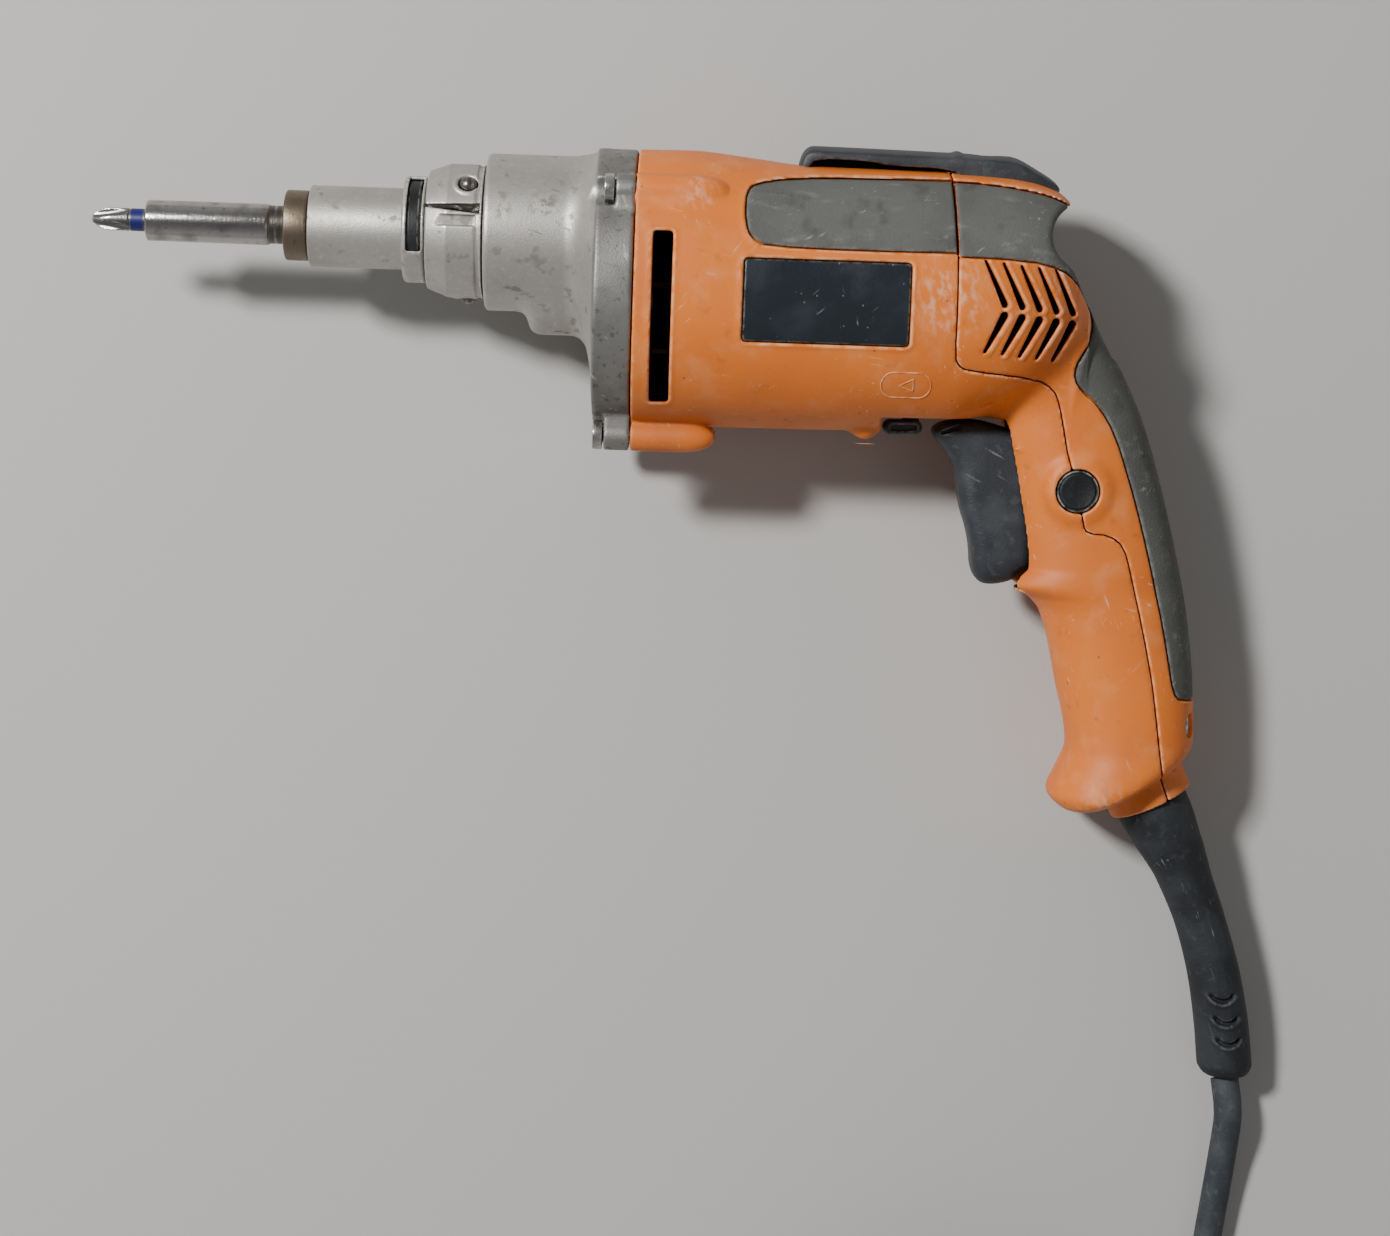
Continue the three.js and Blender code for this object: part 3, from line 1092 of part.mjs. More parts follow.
function assembleTool() {
  const add = (name, solid, material) => place(tool, name, solid, material);
  add("screw_bit", screwBit(), FINISH.steel);
  add("bit_holder", bitHolder(), FINISH.chrome);
  add("spindle", spindle(), FINISH.steel);
  add("thrust_washer", thrustWasher(), FINISH.steel);
  add("clutch_spring", clutchSpring(), FINISH.steel);
  add("drive_gear", driveGear(), FINISH.darkSteel);
  add("nose_collar", noseCollar(), FINISH.bronze);
  add("spindle_bearing", spindleBearing(), FINISH.bronze);
  add("nose_tube", noseTube(), FINISH.cast);
  add("lock_ring", lockRing(), FINISH.cast);
  add("lock_spring", lockSpring(), FINISH.darkSteel);
  add("detent_collar", detentCollar(), FINISH.cast);
  BALL_ANGLES.forEach((angle, i) => add(`detent_ball_${i + 1}`, detentBall(angle), FINISH.chrome));
  add("gear_case", gearCase(), FINISH.cast);
  add("bearing_plate", bearingPlate(), FINISH.cast);
  CASE_SCREWS.forEach((place, i) => add(`case_screw_${i + 1}`, caseScrew(place), FINISH.steel));
  add("motor_housing", motorHousing(), FINISH.orange);
  add("rear_cover", rearCover(), FINISH.orange);
  add("side_grip_left", sideGrip(1), FINISH.rubber);
  add("side_grip_right", sideGrip(-1), FINISH.rubber);
  add("cover_grip", coverGrip(), FINISH.rubber);
  add("label_left", label(1), FINISH.label);
  add("label_right", label(-1), FINISH.label);
  add("belt_hook", beltHook(), FINISH.darkPlastic);
  add("hook_screw", hookScrew(), FINISH.steel);
  add("cover_screw_1", coverScrew(COVER_SCREW.z), FINISH.steel);
  add("cover_screw_2", coverScrew(-COVER_SCREW.z), FINISH.steel);
  add("field_core", fieldCore(), FINISH.darkSteel);
  add("field_coil_upper", fieldCoil(0), FINISH.copper);
  add("field_coil_lower", fieldCoil(Math.PI), FINISH.copper);
  add("armature_shaft", armatureShaft(), FINISH.steel);
  add("armature_core", armatureCore(), FINISH.darkSteel);
  add("winding_front", windingHead(CORE_X - WINDING_HEAD, CORE_X - GAP), FINISH.copper);
  add("winding_rear", windingHead(CORE_X + CORE_LENGTH + GAP, COMMUTATOR_X - 1), FINISH.copper);
  add("commutator", commutator(), FINISH.copper);
  add("fan", fan(), FINISH.black);
  add("front_bearing", frontBearing(), FINISH.steel);
  add("rear_bearing", rearBearing(), FINISH.steel);
  add("brush_holder_left", brushHolder(1), FINISH.brass);
  add("brush_holder_right", brushHolder(-1), FINISH.brass);
  add("carbon_brush_left", carbonBrush(1), FINISH.carbon);
  add("carbon_brush_right", carbonBrush(-1), FINISH.carbon);
  add("switch_body", switchBody(), FINISH.black);
  add("trigger", trigger(), FINISH.darkPlastic);
  add("reversing_lever", reversingLever(), FINISH.darkPlastic);
  add("lock_button", lockButton(), FINISH.black);
  add("cord_clamp", cordClamp(), FINISH.darkPlastic);
  add("strain_relief", strainRelief(), FINISH.black);
}

function cordTube(points) {
  const route = points.map((point) => (Array.isArray(point) ? new THREE.Vector3(...point) : point));
  const length = new THREE.CatmullRomCurve3(route).getLength();
  return sweep(route, CORD_R, CORD_SIDES, Math.ceil(length / (CORD_R * 5)));
}

function coilRing() {
  const { inner, outer, height, round } = COIL;
  const profile = [
    [inner, round], [inner + round, 0], [outer - round, 0], [outer, round],
    [outer, height - round], [outer - round, height], [inner + round, height], [inner, height - round],
  ];
  const points = [...profile, profile[0]].map(([r, z]) => new THREE.Vector2(r, z));
  const geometry = new THREE.LatheGeometry(points, 2 * ROUND).rotateX(Math.PI / 2);
  return toSolid(geometry.translate(COIL.x, COIL.y, 0));
}

function coilTie() {
  const { inner, outer, height } = COIL;
  const { width, thickness, angle } = TIE;
  const slack = 2 * GAP; // the strap is straight across the round coil
  const wide = slack + thickness;
  const outside = block([inner - wide, -width / 2, GAP], [outer + wide, width / 2, height + wide]);
  const inside = block([inner - slack, -FAR, -FAR], [outer + slack, FAR, height + slack]);
  const strap = toGeometry(cut(outside, inside));
  return toSolid(strap.rotateZ(angle).translate(COIL.x, COIL.y, 0));
}

// The plug lies flat, its cord end at `start` and its blades pointing to -X.
function plugBody(start) {
  const { length, width, thickness, neck } = PLUG;
  const y = start.y;
  const rings = [
    [0, CORD_R + 0.8, CORD_R + 0.8], [neck, CORD_R + 1.6, CORD_R + 1.6],
    [neck + 5, width / 2 - 2.5, thickness / 2 - 0.8], [neck + 9, width / 2, thickness / 2],
    [neck + length - 2, width / 2, thickness / 2], [neck + length, width / 2 - 1.5, thickness / 2 - 1.5],
  ].map(([along, across, high]) =>
    section(y, across, high, PLUG.power, BOOT_SIDES).map(
      ([a, b]) => new THREE.Vector3(start.x - GAP - along, a, thickness / 2 + b),
    ),
  );
  return loft(rings);
}

function plugBlade(start, side) {
  const { length, neck } = PLUG;
  const x = start.x - 2 * GAP - neck - length;
  const y = start.y + (side * BLADE.spacing) / 2;
  const z = PLUG.thickness / 2;
  return block(
    [x - BLADE.length, y - BLADE.thickness / 2, z - BLADE.width / 2],
    [x, y + BLADE.thickness / 2, z + BLADE.width / 2],
  );
}

function assembleCord(exit) {
  const add = (name, solid, material) => place(cordGroup, name, solid, material);
  const tailEnd = new THREE.Vector3(...TAIL_ROUTE.at(-1));
  add("cord", cordTube([exit, ...CORD_ROUTE]), FINISH.black);
  add("cord_coil", coilRing(), FINISH.black);
  add("cord_tail", cordTube(TAIL_ROUTE), FINISH.black);
  add("coil_tie", coilTie(), FINISH.darkPlastic);
  add("plug_body", plugBody(tailEnd), FINISH.black);
  add("plug_blade_1", plugBlade(tailEnd, 1), FINISH.brass);
  add("plug_blade_2", plugBlade(tailEnd, -1), FINISH.brass);
}

// ---------------------------------------------------------------- assembly
assembleTool();
tool.rotation.x = ROLL;
tool.updateMatrixWorld(true);
const footprint = new THREE.Box3().setFromObject(tool, true);
const centre = footprint.getCenter(new THREE.Vector3());
tool.position.set(-centre.x, -centre.y, -footprint.min.z);
tool.updateMatrixWorld(true);

const bootEnd = BOOT.at(-1);
const exit = new THREE.Vector3(bootEnd.x, bootEnd.y - 3 * GAP, bootEnd.z).applyMatrix4(tool.matrixWorld);
assembleCord(exit);

const part = new THREE.Group();
part.add(tool, cordGroup);
export default part;
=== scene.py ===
"""The look of a corded drywall screwdriver on its right side, its cord coiled beside it.

Most pieces are made in tool coordinates, in millimetres: +X runs to the rear along the
spindle, +Y to the top and +Z to the left side, with x = 0 where the gear case meets the
housing. TOOL turns them into the row frame, in metres. The cord and the plug are made in
the row frame itself, in millimetres, and ROW only scales them.

A moulded piece is a field: a function of x, y and z that is below 0 inside the piece and
tells roughly how far away its surface is. solid() turns a field into a mesh.
"""
import json
import math

import bpy
import numpy as np
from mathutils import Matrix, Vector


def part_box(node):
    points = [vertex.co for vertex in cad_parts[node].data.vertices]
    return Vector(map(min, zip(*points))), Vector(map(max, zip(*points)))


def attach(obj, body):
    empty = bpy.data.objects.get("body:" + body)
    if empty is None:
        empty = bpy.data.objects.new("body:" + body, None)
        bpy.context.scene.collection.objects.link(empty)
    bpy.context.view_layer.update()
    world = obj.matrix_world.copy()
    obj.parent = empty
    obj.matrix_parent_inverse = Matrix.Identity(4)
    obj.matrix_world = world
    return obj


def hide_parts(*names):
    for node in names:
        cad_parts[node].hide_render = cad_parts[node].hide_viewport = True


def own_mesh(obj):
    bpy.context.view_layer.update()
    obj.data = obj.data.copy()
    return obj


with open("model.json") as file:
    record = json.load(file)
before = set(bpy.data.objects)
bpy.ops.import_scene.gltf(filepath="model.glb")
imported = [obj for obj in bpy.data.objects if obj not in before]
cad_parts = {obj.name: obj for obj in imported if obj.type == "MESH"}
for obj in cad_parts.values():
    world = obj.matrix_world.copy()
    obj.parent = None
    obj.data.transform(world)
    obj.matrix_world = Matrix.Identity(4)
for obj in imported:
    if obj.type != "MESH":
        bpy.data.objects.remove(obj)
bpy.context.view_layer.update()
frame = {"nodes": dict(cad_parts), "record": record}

import openvdb
from mathutils import Matrix, Vector

FAR = 400
HOUSING = "housing"

# ---------------------------------------------------------------- places from the frame


def middle(node):
    low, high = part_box(node)
    return (low + high) / 2


def tool_matrix():
    """From tool coordinates in millimetres to the row frame in metres."""
    spindle, shaft = middle("spindle"), middle("armature_shaft")
    roll = math.atan2(spindle.z - shaft.z, spindle.y - shaft.y)
    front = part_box("motor_housing")[0].x - JOINT_GAP / 1000
    origin = Vector((front, spindle.y, spindle.z))
    return Matrix.Translation(origin) @ Matrix.Rotation(roll, 4, "X") @ Matrix.Scale(0.001, 4)


JOINT_GAP = 0.15
TOOL = tool_matrix()
ROW = Matrix.Scale(0.001, 4)

# ---------------------------------------------------------------- camera, floor and light
CAMERA_FROM_TOOL = (19.5, -103.7, 850)  # millimetres from the tool's origin, in the row frame
CAMERA_TILT = 2
LENS = 80.35
SENSOR = 36
LIGHT_AIM = (20, -60, 0)  # in tool coordinates
KEY = {"direction": (-26, 14.5, 39), "distance": 1.5, "size": 0.2, "power": 30}
FILL = {"direction": (30, -20, 60), "distance": 1.8, "size": 1.2, "power": 2}
SKY_STRENGTH = 0.42
SKY_LOW, SKY_HIGH = (0.25, (1, 1, 1, 1)), (0.95, (0.2, 0.21, 0.22, 1))  # height and colour
FLOOR_SIZE = 12
FLOOR_COLOUR = (0.47, 0.457, 0.435, 1)


def add_camera():
    camera = bpy.data.objects.new("camera", bpy.data.cameras.new("camera"))
    camera.data.lens = LENS
    camera.data.sensor_width = SENSOR
    camera.location = TOOL.translation + Vector(CAMERA_FROM_TOOL) / 1000
    camera.rotation_euler = (0, 0, math.radians(CAMERA_TILT))
    bpy.context.scene.collection.objects.link(camera)
    bpy.context.scene.camera = camera


def add_light(name, direction, distance, size, power):
    light = bpy.data.objects.new(name, bpy.data.lights.new(name, "AREA"))
    light.data.size = size
    light.data.energy = power
    away = Vector(direction).normalized()
    light.location = TOOL @ Vector(LIGHT_AIM) + away * distance
    light.rotation_euler = away.to_track_quat("Z", "Y").to_euler()
    bpy.context.scene.collection.objects.link(light)


def add_world(strength):
    world = bpy.data.worlds.new("world")
    world.use_nodes = True
    nodes, link = world.node_tree.nodes, world.node_tree.links.new
    background = nodes["Background"]
    background.inputs["Strength"].default_value = strength
    height = nodes.new("ShaderNodeSeparateXYZ")
    link(nodes.new("ShaderNodeTexCoord").outputs["Generated"], height.inputs["Vector"])
    ramp = nodes.new("ShaderNodeValToRGB")
    for element, (position, colour) in zip(ramp.color_ramp.elements, (SKY_LOW, SKY_HIGH)):
        element.position = position
        element.color = colour
    link(height.outputs["Z"], ramp.inputs["Fac"])
    link(ramp.outputs["Color"], background.inputs["Color"])
    bpy.context.scene.world = world


def add_floor():
    size = FLOOR_SIZE
    corners = [(-size, -size, 0), (size, -size, 0), (size, size, 0), (-size, size, 0)]
    mesh = bpy.data.meshes.new("floor")
    mesh.from_pydata(corners, [], [(0, 1, 2, 3)])
    floor = bpy.data.objects.new("floor", mesh)
    bpy.context.scene.collection.objects.link(floor)
    material = bpy.data.materials.new("floor")
    material.use_nodes = True
    shader = material.node_tree.nodes["Principled BSDF"]
    shader.inputs["Base Color"].default_value = FLOOR_COLOUR
    shader.inputs["Roughness"].default_value = 0.85
    mesh.materials.append(material)


add_camera()
add_light("key", **KEY)
add_light("fill", **FILL)
add_world(SKY_STRENGTH)
add_floor()

# ---------------------------------------------------------------- curves and outlines


class Curve:
    """A smooth curve through (t, value) points that never overshoots them."""

    def __init__(self, points, step=0.05):
        t, value = np.array(sorted(points), float).T
        secant = np.diff(value) / np.diff(t)
        product = secant[1:] * secant[:-1]
        total = np.where(product > 0, secant[1:] + secant[:-1], 1)
        inner = np.where(product > 0, 2 * product / total, 0)
        tangent = np.concatenate([secant[:1], inner, secant[-1:]])
        self.t = np.arange(t[0], t[-1] + step / 2, step)
        i = np.clip(np.searchsorted(t, self.t, "right") - 1, 0, len(t) - 2)
        width = t[i + 1] - t[i]
        s = (self.t - t[i]) / width
        self.value = (
            value[i] * (1 + 2 * s) * (1 - s) ** 2
            + value[i + 1] * s**2 * (3 - 2 * s)
            + width * s * (1 - s) * (tangent[i] * (1 - s) - tangent[i + 1] * s)
        )
        self.gradient = np.gradient(self.value, self.t)

    def __call__(self, t):
        return np.interp(t, self.t, self.value)

    def slope(self, t):
        return np.interp(t, self.t, self.gradient, left=0, right=0)


def eased(points, closed=True, times=1):
    """The outline with its corners cut, so that it turns smoothly."""
    for _ in range(times):
        ends = points[1:] + points[:1] if closed else points[1:]
        cut = []
        for (x0, y0), (x1, y1) in zip(points, ends):
            cut.append((0.75 * x0 + 0.25 * x1, 0.75 * y0 + 0.25 * y1))
            cut.append((0.25 * x0 + 0.75 * x1, 0.25 * y0 + 0.75 * y1))
        points = cut if closed else [points[0], *cut[1:-1], points[-1]]
    return points


def polygon(points):
    """The field of a closed outline in x and y, endless in z."""

    def field(x, y):
        x, y = np.broadcast_arrays(x, y)
        nearest = np.full(x.shape, np.inf)
        inside = np.zeros(x.shape, bool)
        for (x0, y0), (x1, y1) in zip(points, points[1:] + points[:1]):
            dx, dy = x1 - x0, y1 - y0
            share = np.clip(((x - x0) * dx + (y - y0) * dy) / (dx * dx + dy * dy), 0, 1)
            nearest = np.minimum(nearest, (x - x0 - share * dx) ** 2 + (y - y0 - share * dy) ** 2)
            if dy:
                inside ^= ((y0 > y) != (y1 > y)) & (x < x0 + (y - y0) * dx / dy)
        return np.where(inside, -1, 1) * np.sqrt(nearest)

    return field


# ---------------------------------------------------------------- fields


def soft_min(a, b, k):
    h = np.maximum(k - np.abs(a - b), 0)
    return np.minimum(a, b) - h * h / (4 * k)


def soft_max(a, b, k):
    return -soft_min(-a, -b, k)


def hill(distance, width):
    """1 at distance 0, falling smoothly to 0 at `width` on both sides."""
    return np.maximum(1 - (distance / width) ** 2, 0) ** 2


def oblong(x, y, x0, y0, x1, y1, r=0.0):
    """Field of a rectangle with corners of radius r."""
    u = np.abs(x - (x0 + x1) / 2) - (x1 - x0) / 2 + r
    v = np.abs(y - (y0 + y1) / 2) - (y1 - y0) / 2 + r
    outside = np.hypot(np.maximum(u, 0), np.maximum(v, 0))
    return outside + np.minimum(np.maximum(u, v), 0) - r


def streak(x, y, start, end, r0, r1):
    """Field of a round-ended stroke between two points, its radius going from r0 to r1."""
    (x0, y0), (x1, y1) = start, end
    dx, dy = x1 - x0, y1 - y0
    share = np.clip(((x - x0) * dx + (y - y0) * dy) / (dx * dx + dy * dy), 0, 1)
    return np.hypot(x - x0 - share * dx, y - y0 - share * dy) - r0 - (r1 - r0) * share


def rod_x(x, y, z, x0, x1, y0, z0, r, k=0.5):
    return soft_max(np.hypot(y - y0, z - z0) - r, np.abs(x - (x0 + x1) / 2) - (x1 - x0) / 2, k)


def rod_z(x, y, z, z0, z1, x0, y0, r, k=0.5):
    return soft_max(np.hypot(x - x0, y - y0) - r, np.abs(z - (z0 + z1) / 2) - (z1 - z0) / 2, k)


def oval(along, u, across, low, high, half, power):
    """Field of a long body whose section lies between the curves low and high and is 2 half wide."""
    a = (high(along) - low(along)) / 2
    b = half(along)
    offset = u - (high(along) + low(along)) / 2
    a_slope = (high.slope(along) - low.slope(along)) / 2
    shift = (high.slope(along) + low.slope(along)) / 2
    p, q = np.maximum(np.abs(offset) / a, 1e-3), np.maximum(np.abs(across) / b, 1e-3)
    pp, qq = p**power, q**power
    gauge = (pp + qq) ** (1 / power)
    pull = gauge ** (1 - power)
    du = pull * pp / p / a
    dv = pull * qq / q / b
    ds = du * (np.sign(offset) * shift + p * a_slope) + dv * q * half.slope(along)
    flat = du * du + dv * dv
    near = (gauge - 1) / np.sqrt(flat + ds * ds)
    return np.maximum(near, 0.45 * (gauge - 1) / np.sqrt(flat) - 1.5)


# ---------------------------------------------------------------- meshes
BLOCK = 8  # samples along a side of a block
REACH = 1.05  # how near the surface has to be for a block to be sampled finely, in block sides
BATCH = 2500
BAND = 3.0  # samples of signed distance kept on each side of the surface
ADAPTIVITY = 0.0004
COARSER = 1.0


def sampled(field, low, high, voxel):
    """The field on a grid in voxels: true near the surface, and only its sign elsewhere."""
    side = BLOCK * voxel
    counts = [math.ceil((high[i] - low[i]) / side) for i in range(3)]
    corners = [low[i] + side * np.arange(counts[i]) for i in range(3)]
    centre = [c + (side - voxel) / 2 for c in corners]
    coarse = field(centre[0][:, None, None], centre[1][None, :, None], centre[2][None, None, :])
    coarse = np.broadcast_to(coarse, counts)
    x_block, y_block, z_block = np.nonzero(np.abs(coarse) < REACH * side)
    shape = [n for count in counts for n in (count, BLOCK)]
    values = np.empty(shape, np.float32)
    values[:] = np.where(coarse > 0, BAND, -BAND)[:, None, :, None, :, None]
    step = voxel * np.arange(BLOCK)
    for start in range(0, len(x_block), BATCH):
        i, j, k = (block[start : start + BATCH] for block in (x_block, y_block, z_block))
        x = (corners[0][i][:, None] + step)[:, :, None, None]
        y = (corners[1][j][:, None] + step)[:, None, :, None]
        z = (corners[2][k][:, None] + step)[:, None, None, :]
        values[i, :, j, :, k, :] = np.clip(field(x, y, z) / voxel, -BAND, BAND)
    return values.reshape([count * BLOCK for count in counts])


def bulge(field, points, reach):
    """How convex the surface is at each point, over `reach` millimetres: above 0 on an edge."""
    total = -6 * field(*points.T)
    for axis in np.eye(3) * reach:
        total = total + field(*(points + axis).T) + field(*(points - axis).T)
    return total / (6 * reach)


def solid(name, field, low, high, voxel, space=TOOL):
    """The mesh of a field inside a box, with its edges and hollows kept as attributes."""
    voxel = voxel * COARSER
    low = np.array(low, float) - 2 * voxel
    high = np.array(high, float) + 2 * voxel
    grid = openvdb.FloatGrid(BAND)
    grid.copyFromArray(sampled(field, low, high, voxel), tolerance=0)
    points, triangles, quads = grid.convertToPolygons(isovalue=0.0, adaptivity=ADAPTIVITY)
    points = low + points.astype(float) * voxel
    mesh = bpy.data.meshes.new(name)
    mesh.from_pydata(points.tolist(), [], triangles[:, ::-1].tolist() + quads[:, ::-1].tolist())
    for attribute, reach in (("edge", 0.8), ("hollow", 3.0)):
        layer = mesh.attributes.new(attribute, "FLOAT", "POINT")
        layer.data.foreach_set("value", bulge(field, points, reach).astype(np.float32))
    return placed(name, mesh, space)


def placed(name, mesh, space):
    mesh.transform(space)
    mesh.shade_smooth()
    made = bpy.data.objects.new(name, mesh)
    bpy.context.scene.collection.objects.link(made)
    return made


def turned(name, profile, centre=(0, 0), rounding=0.25, sides=96, space=TOOL):
    """A piece turned about an axis along X at y, z = centre: the profile is a closed list of (x, r)."""
    ring = eased_corners(profile, rounding)
    angles = 2 * math.pi * np.arange(sides) / sides
    points = [
        (x, centre[0] + r * math.cos(a), centre[1] + r * math.sin(a)) for x, r in ring for a in angles
    ]
    count = len(ring)
    faces = [
        (i * sides + j, i * sides + (j + 1) % sides,
         (i + 1) % count * sides + (j + 1) % sides, (i + 1) % count * sides + j)
        for i in range(count) for j in range(sides)
    ]
    mesh = bpy.data.meshes.new(name)
    mesh.from_pydata(points, [], faces)
    return placed(name, mesh, space)


def helix(name, start, end, radius, wire, turns, sides=14, per_turn=40):
    """A wire wound round the spindle's axis, its end turns closed up like a spring's."""
    count = int(turns * per_turn) + 1
    mesh = bpy.data.meshes.new(name)
    points = []
    for i in range(count):
        share = i / (count - 1)
        x = start + wire + (end - start - 2 * wire) * (share - 0.1 * math.sin(4 * math.pi * share) / 2)
        turn = 2 * math.pi * turns * share
        for j in range(sides):
            around = 2 * math.pi * j / sides
            out = radius + wire * math.cos(around)
            points.append((x + wire * math.sin(around), out * math.cos(turn), out * math.sin(turn)))
    faces = [
        (i * sides + j, i * sides + (j + 1) % sides,
         (i + 1) * sides + (j + 1) % sides, (i + 1) * sides + j)
        for i in range(count - 1) for j in range(sides)
    ]
    faces.append(tuple(reversed(range(sides))))
    faces.append(tuple(range((count - 1) * sides, count * sides)))
    mesh.from_pydata(points, [], faces)
    return placed(name, mesh, TOOL)


def eased_corners(profile, rounding):
    """The profile with each corner replaced by a small arc of three points."""
    corners = []
    for i, (x, r) in enumerate(profile):
        for neighbour in (profile[i - 1], profile[(i + 1) % len(profile)]):
            dx, dr = neighbour[0] - x, neighbour[1] - r
            length = math.hypot(dx, dr)
            share = min(rounding / length, 0.35)
            corners.append((x + dx * share, r + dr * share))
    rounded = []
    for i in range(0, len(corners), 2):
        (x0, r0), (x1, r1) = corners[i], corners[i + 1]
        x, r = profile[i // 2]
        for t in (0, 0.25, 0.5, 0.75, 1):
            a, b, c = (1 - t) ** 2, 2 * t * (1 - t), t * t
            rounded.append((a * x0 + b * x + c * x1, a * r0 + b * r + c * r1))
    return rounded


# ---------------------------------------------------------------- the plastic body
WALL = 3
RUBBER = 1.5
SEAM_GAP = 0.16
POWER = 2.35
BARREL = [
    # x, top, bottom and half width
    (0, 23.8, -51.1, 37), (14, 24, -51.1, 37), (30, 22.6, -51, 36.2), (47, 20.9, -50.9, 35.6),
    (86, 20.5, -49, 34.8), (98, 20, -45, 34), (106, 19.1, -41.5, 32.4), (112.8, 17, -37, 29.6),
    (118.5, 12.5, -32, 25), (121, 4, -28.5, 20), (123.3, -8, -24, 13),
]
GRIP = [
    # y, front, rear and half width
    (3, 88, 112, 15), (-8, 90.5, 119.6, 17.8), (-20, 94, 127.1, 18.5), (-34, 99, 135.4, 17.6),
    (-47, 100.6, 141.4, 17.2), (-64, 104.1, 147, 17.2), (-86, 107.6, 153, 17.5),
    (-88.6, 105.4, 153.6, 17.5), (-91, 104.2, 154.2, 17.5), (-95, 111.6, 155, 17.5),
    (-99, 115, 155.8, 17.6), (-118, 120.2, 158.4, 17.8), (-136, 124, 159.3, 18.4),
    (-143, 121.6, 158.8, 19.5), (-149, 119.4, 156.6, 20.6), (-153.5, 121.8, 150, 18.6),
]
GRIP_END = -154.6
SEAM = [
    (84.6, 17.9), (84.9, 9.1), (85.6, -1.5), (85.9, -14.6), (85.9, -28.6), (87.2, -31), (89.4, -32.1),
    (109, -34), (114.3, -37), (116, -41), (117.8, -49), (119, -55), (122, -64.2), (124, -73.6),
    (125.2, -75.6), (131.4, -76), (135.4, -79), (137.8, -87), (141.8, -102.5), (144.9, -115.8),
    (146.4, -125), (148.6, -139.6), (149.7, -144), (152.4, -150.6), (155, -158),
]
SPINE = [
    (80, -2.2), (104, -2.6), (113.8, -4.8), (117.4, -7.4), (120.8, -11.5), (123.2, -15.6),
    (124.2, -19.3), (123.4, -23.4), (121.2, -27.3), (119.6, -30.2), (119.5, -34), (121.8, -37.3),
    (125.4, -39.9), (129.4, -45), (132.4, -51), (134.4, -56.5), (138.2, -67.4), (141.4, -78.4),
    (144.4, -89.4), (147.1, -100.4), (149.5, -111.6), (151, -118.6), (153.4, -121.6), (170, -122.2),
]
TOP_STRIP = [(80, 17.9), (96, 17.2), (108, 15.4), (114, 13.6), (122, 10.4)]
SIDE_GRIP = [
    (29, 8), (29.4, 13.2), (31.5, 15.2), (41, 17), (60, 17.7), (97, 17.9), (97, -1.2), (60, -1.6),
    (34.5, -1.2), (31, 0.8), (29.6, 3.5),
]
WEB_NOTCH = (119.2, 4, 8)
WEB_SLOPE = [
    (113, 4.2), (114.6, 0.5), (118.1, -6.2), (123.6, -14.2), (131.7, -27.7), (160, -27.7), (160, 4.2),
]
SIDE_START = 14  # the side grips and the labels lie farther than this from the middle
BELLY_STEP = (68.2, -46)
BELLY_BUMP = (64, -49.2, 3.4, 11)
CASE_SCREWS = [
    # y, z, length of the housing's boss, and the face under the head
    (12.6, 27.0, 24.6, -5.4), (-53.6, 12.0, 23.2, -7.2),
]
BOSS_R = 4.1
SKIRT_START = (148.7, -151.2)
SKIRT_DIRECTION = (0.447, -0.894)
SKIRT_R = 11.9
SKIRT_LENGTH = 9
POMMEL_EDGE = (133.1, -152.5)
POMMEL_TILT = math.radians(31)
VENT = (5, -43.5, 10.3, 2)
LABEL = (29.1, -26.4, 73.6, -4.2)
LABEL_DEPTH = 2
LOUVER = {"count": 5, "x": 98.4, "pitch": 4.75, "drop": 0.45, "upper_bend": 5.5, "lower_bend": 4.7,
          "top": -3, "mid": -15.5, "bottom": -27}
PILL = (73.4, -36.6, 13.4, 6.8)
ARROW = [(71.6, -36.8), (75.3, -34.9), (75.4, -38.2)]
LOCK = (122, -64.2)
LOCK_R = 5.7
LEVER_PIN_X, LEVER_PIN_R, LEVER_HOLE_R = 77, 2.3, 2.7
HOOK_SCREW = (94, 25.2)
BOOT_HOLE_R = 8.6
TRIGGER_SLOT = (92, -92.6, 118, -46)

barrel_top, barrel_bottom, barrel_half = (Curve([(s[0], s[i]) for s in BARREL]) for i in (1, 2, 3))
grip_front, grip_rear, grip_half = (Curve([(s[0], s[i]) for s in GRIP]) for i in (1, 2, 3))
behind_seam = polygon([(84, 40), *eased(SEAM, False), (155, -FAR), (FAR, -FAR), (FAR, 40)])
spine_zone = polygon([*eased(SPINE, False), (FAR, -122), (FAR, 9), *eased(TOP_STRIP, False)[::-1]])
side_zone = polygon(eased(SIDE_GRIP))
web_slope = polygon(WEB_SLOPE)
arrow_edge = polygon(ARROW)


def barrel(x, y, z):
    long = oval(x, y, z, barrel_bottom, barrel_top, barrel_half, POWER)
    long = soft_max(long, x - 124, 2)
    under_step = np.maximum(BELLY_STEP[0] - x, y - BELLY_STEP[1])
    return soft_max(soft_max(long, JOINT_GAP - x, 0.4), -under_step, 1.6)


def grip(x, y, z):
    tall = oval(y, x, z, grip_front, grip_rear, grip_half, POWER)
    edge_x, edge_y = POMMEL_EDGE
    below = (x - edge_x) * math.sin(POMMEL_TILT) - (y - edge_y) * math.cos(POMMEL_TILT)
    tall = soft_max(tall, below, 4.5)
    return soft_max(soft_max(tall, GRIP_END - y, 5), y - 3, 3)


def along_skirt(x, y):
    return (x - SKIRT_START[0]) * SKIRT_DIRECTION[0] + (y - SKIRT_START[1]) * SKIRT_DIRECTION[1]


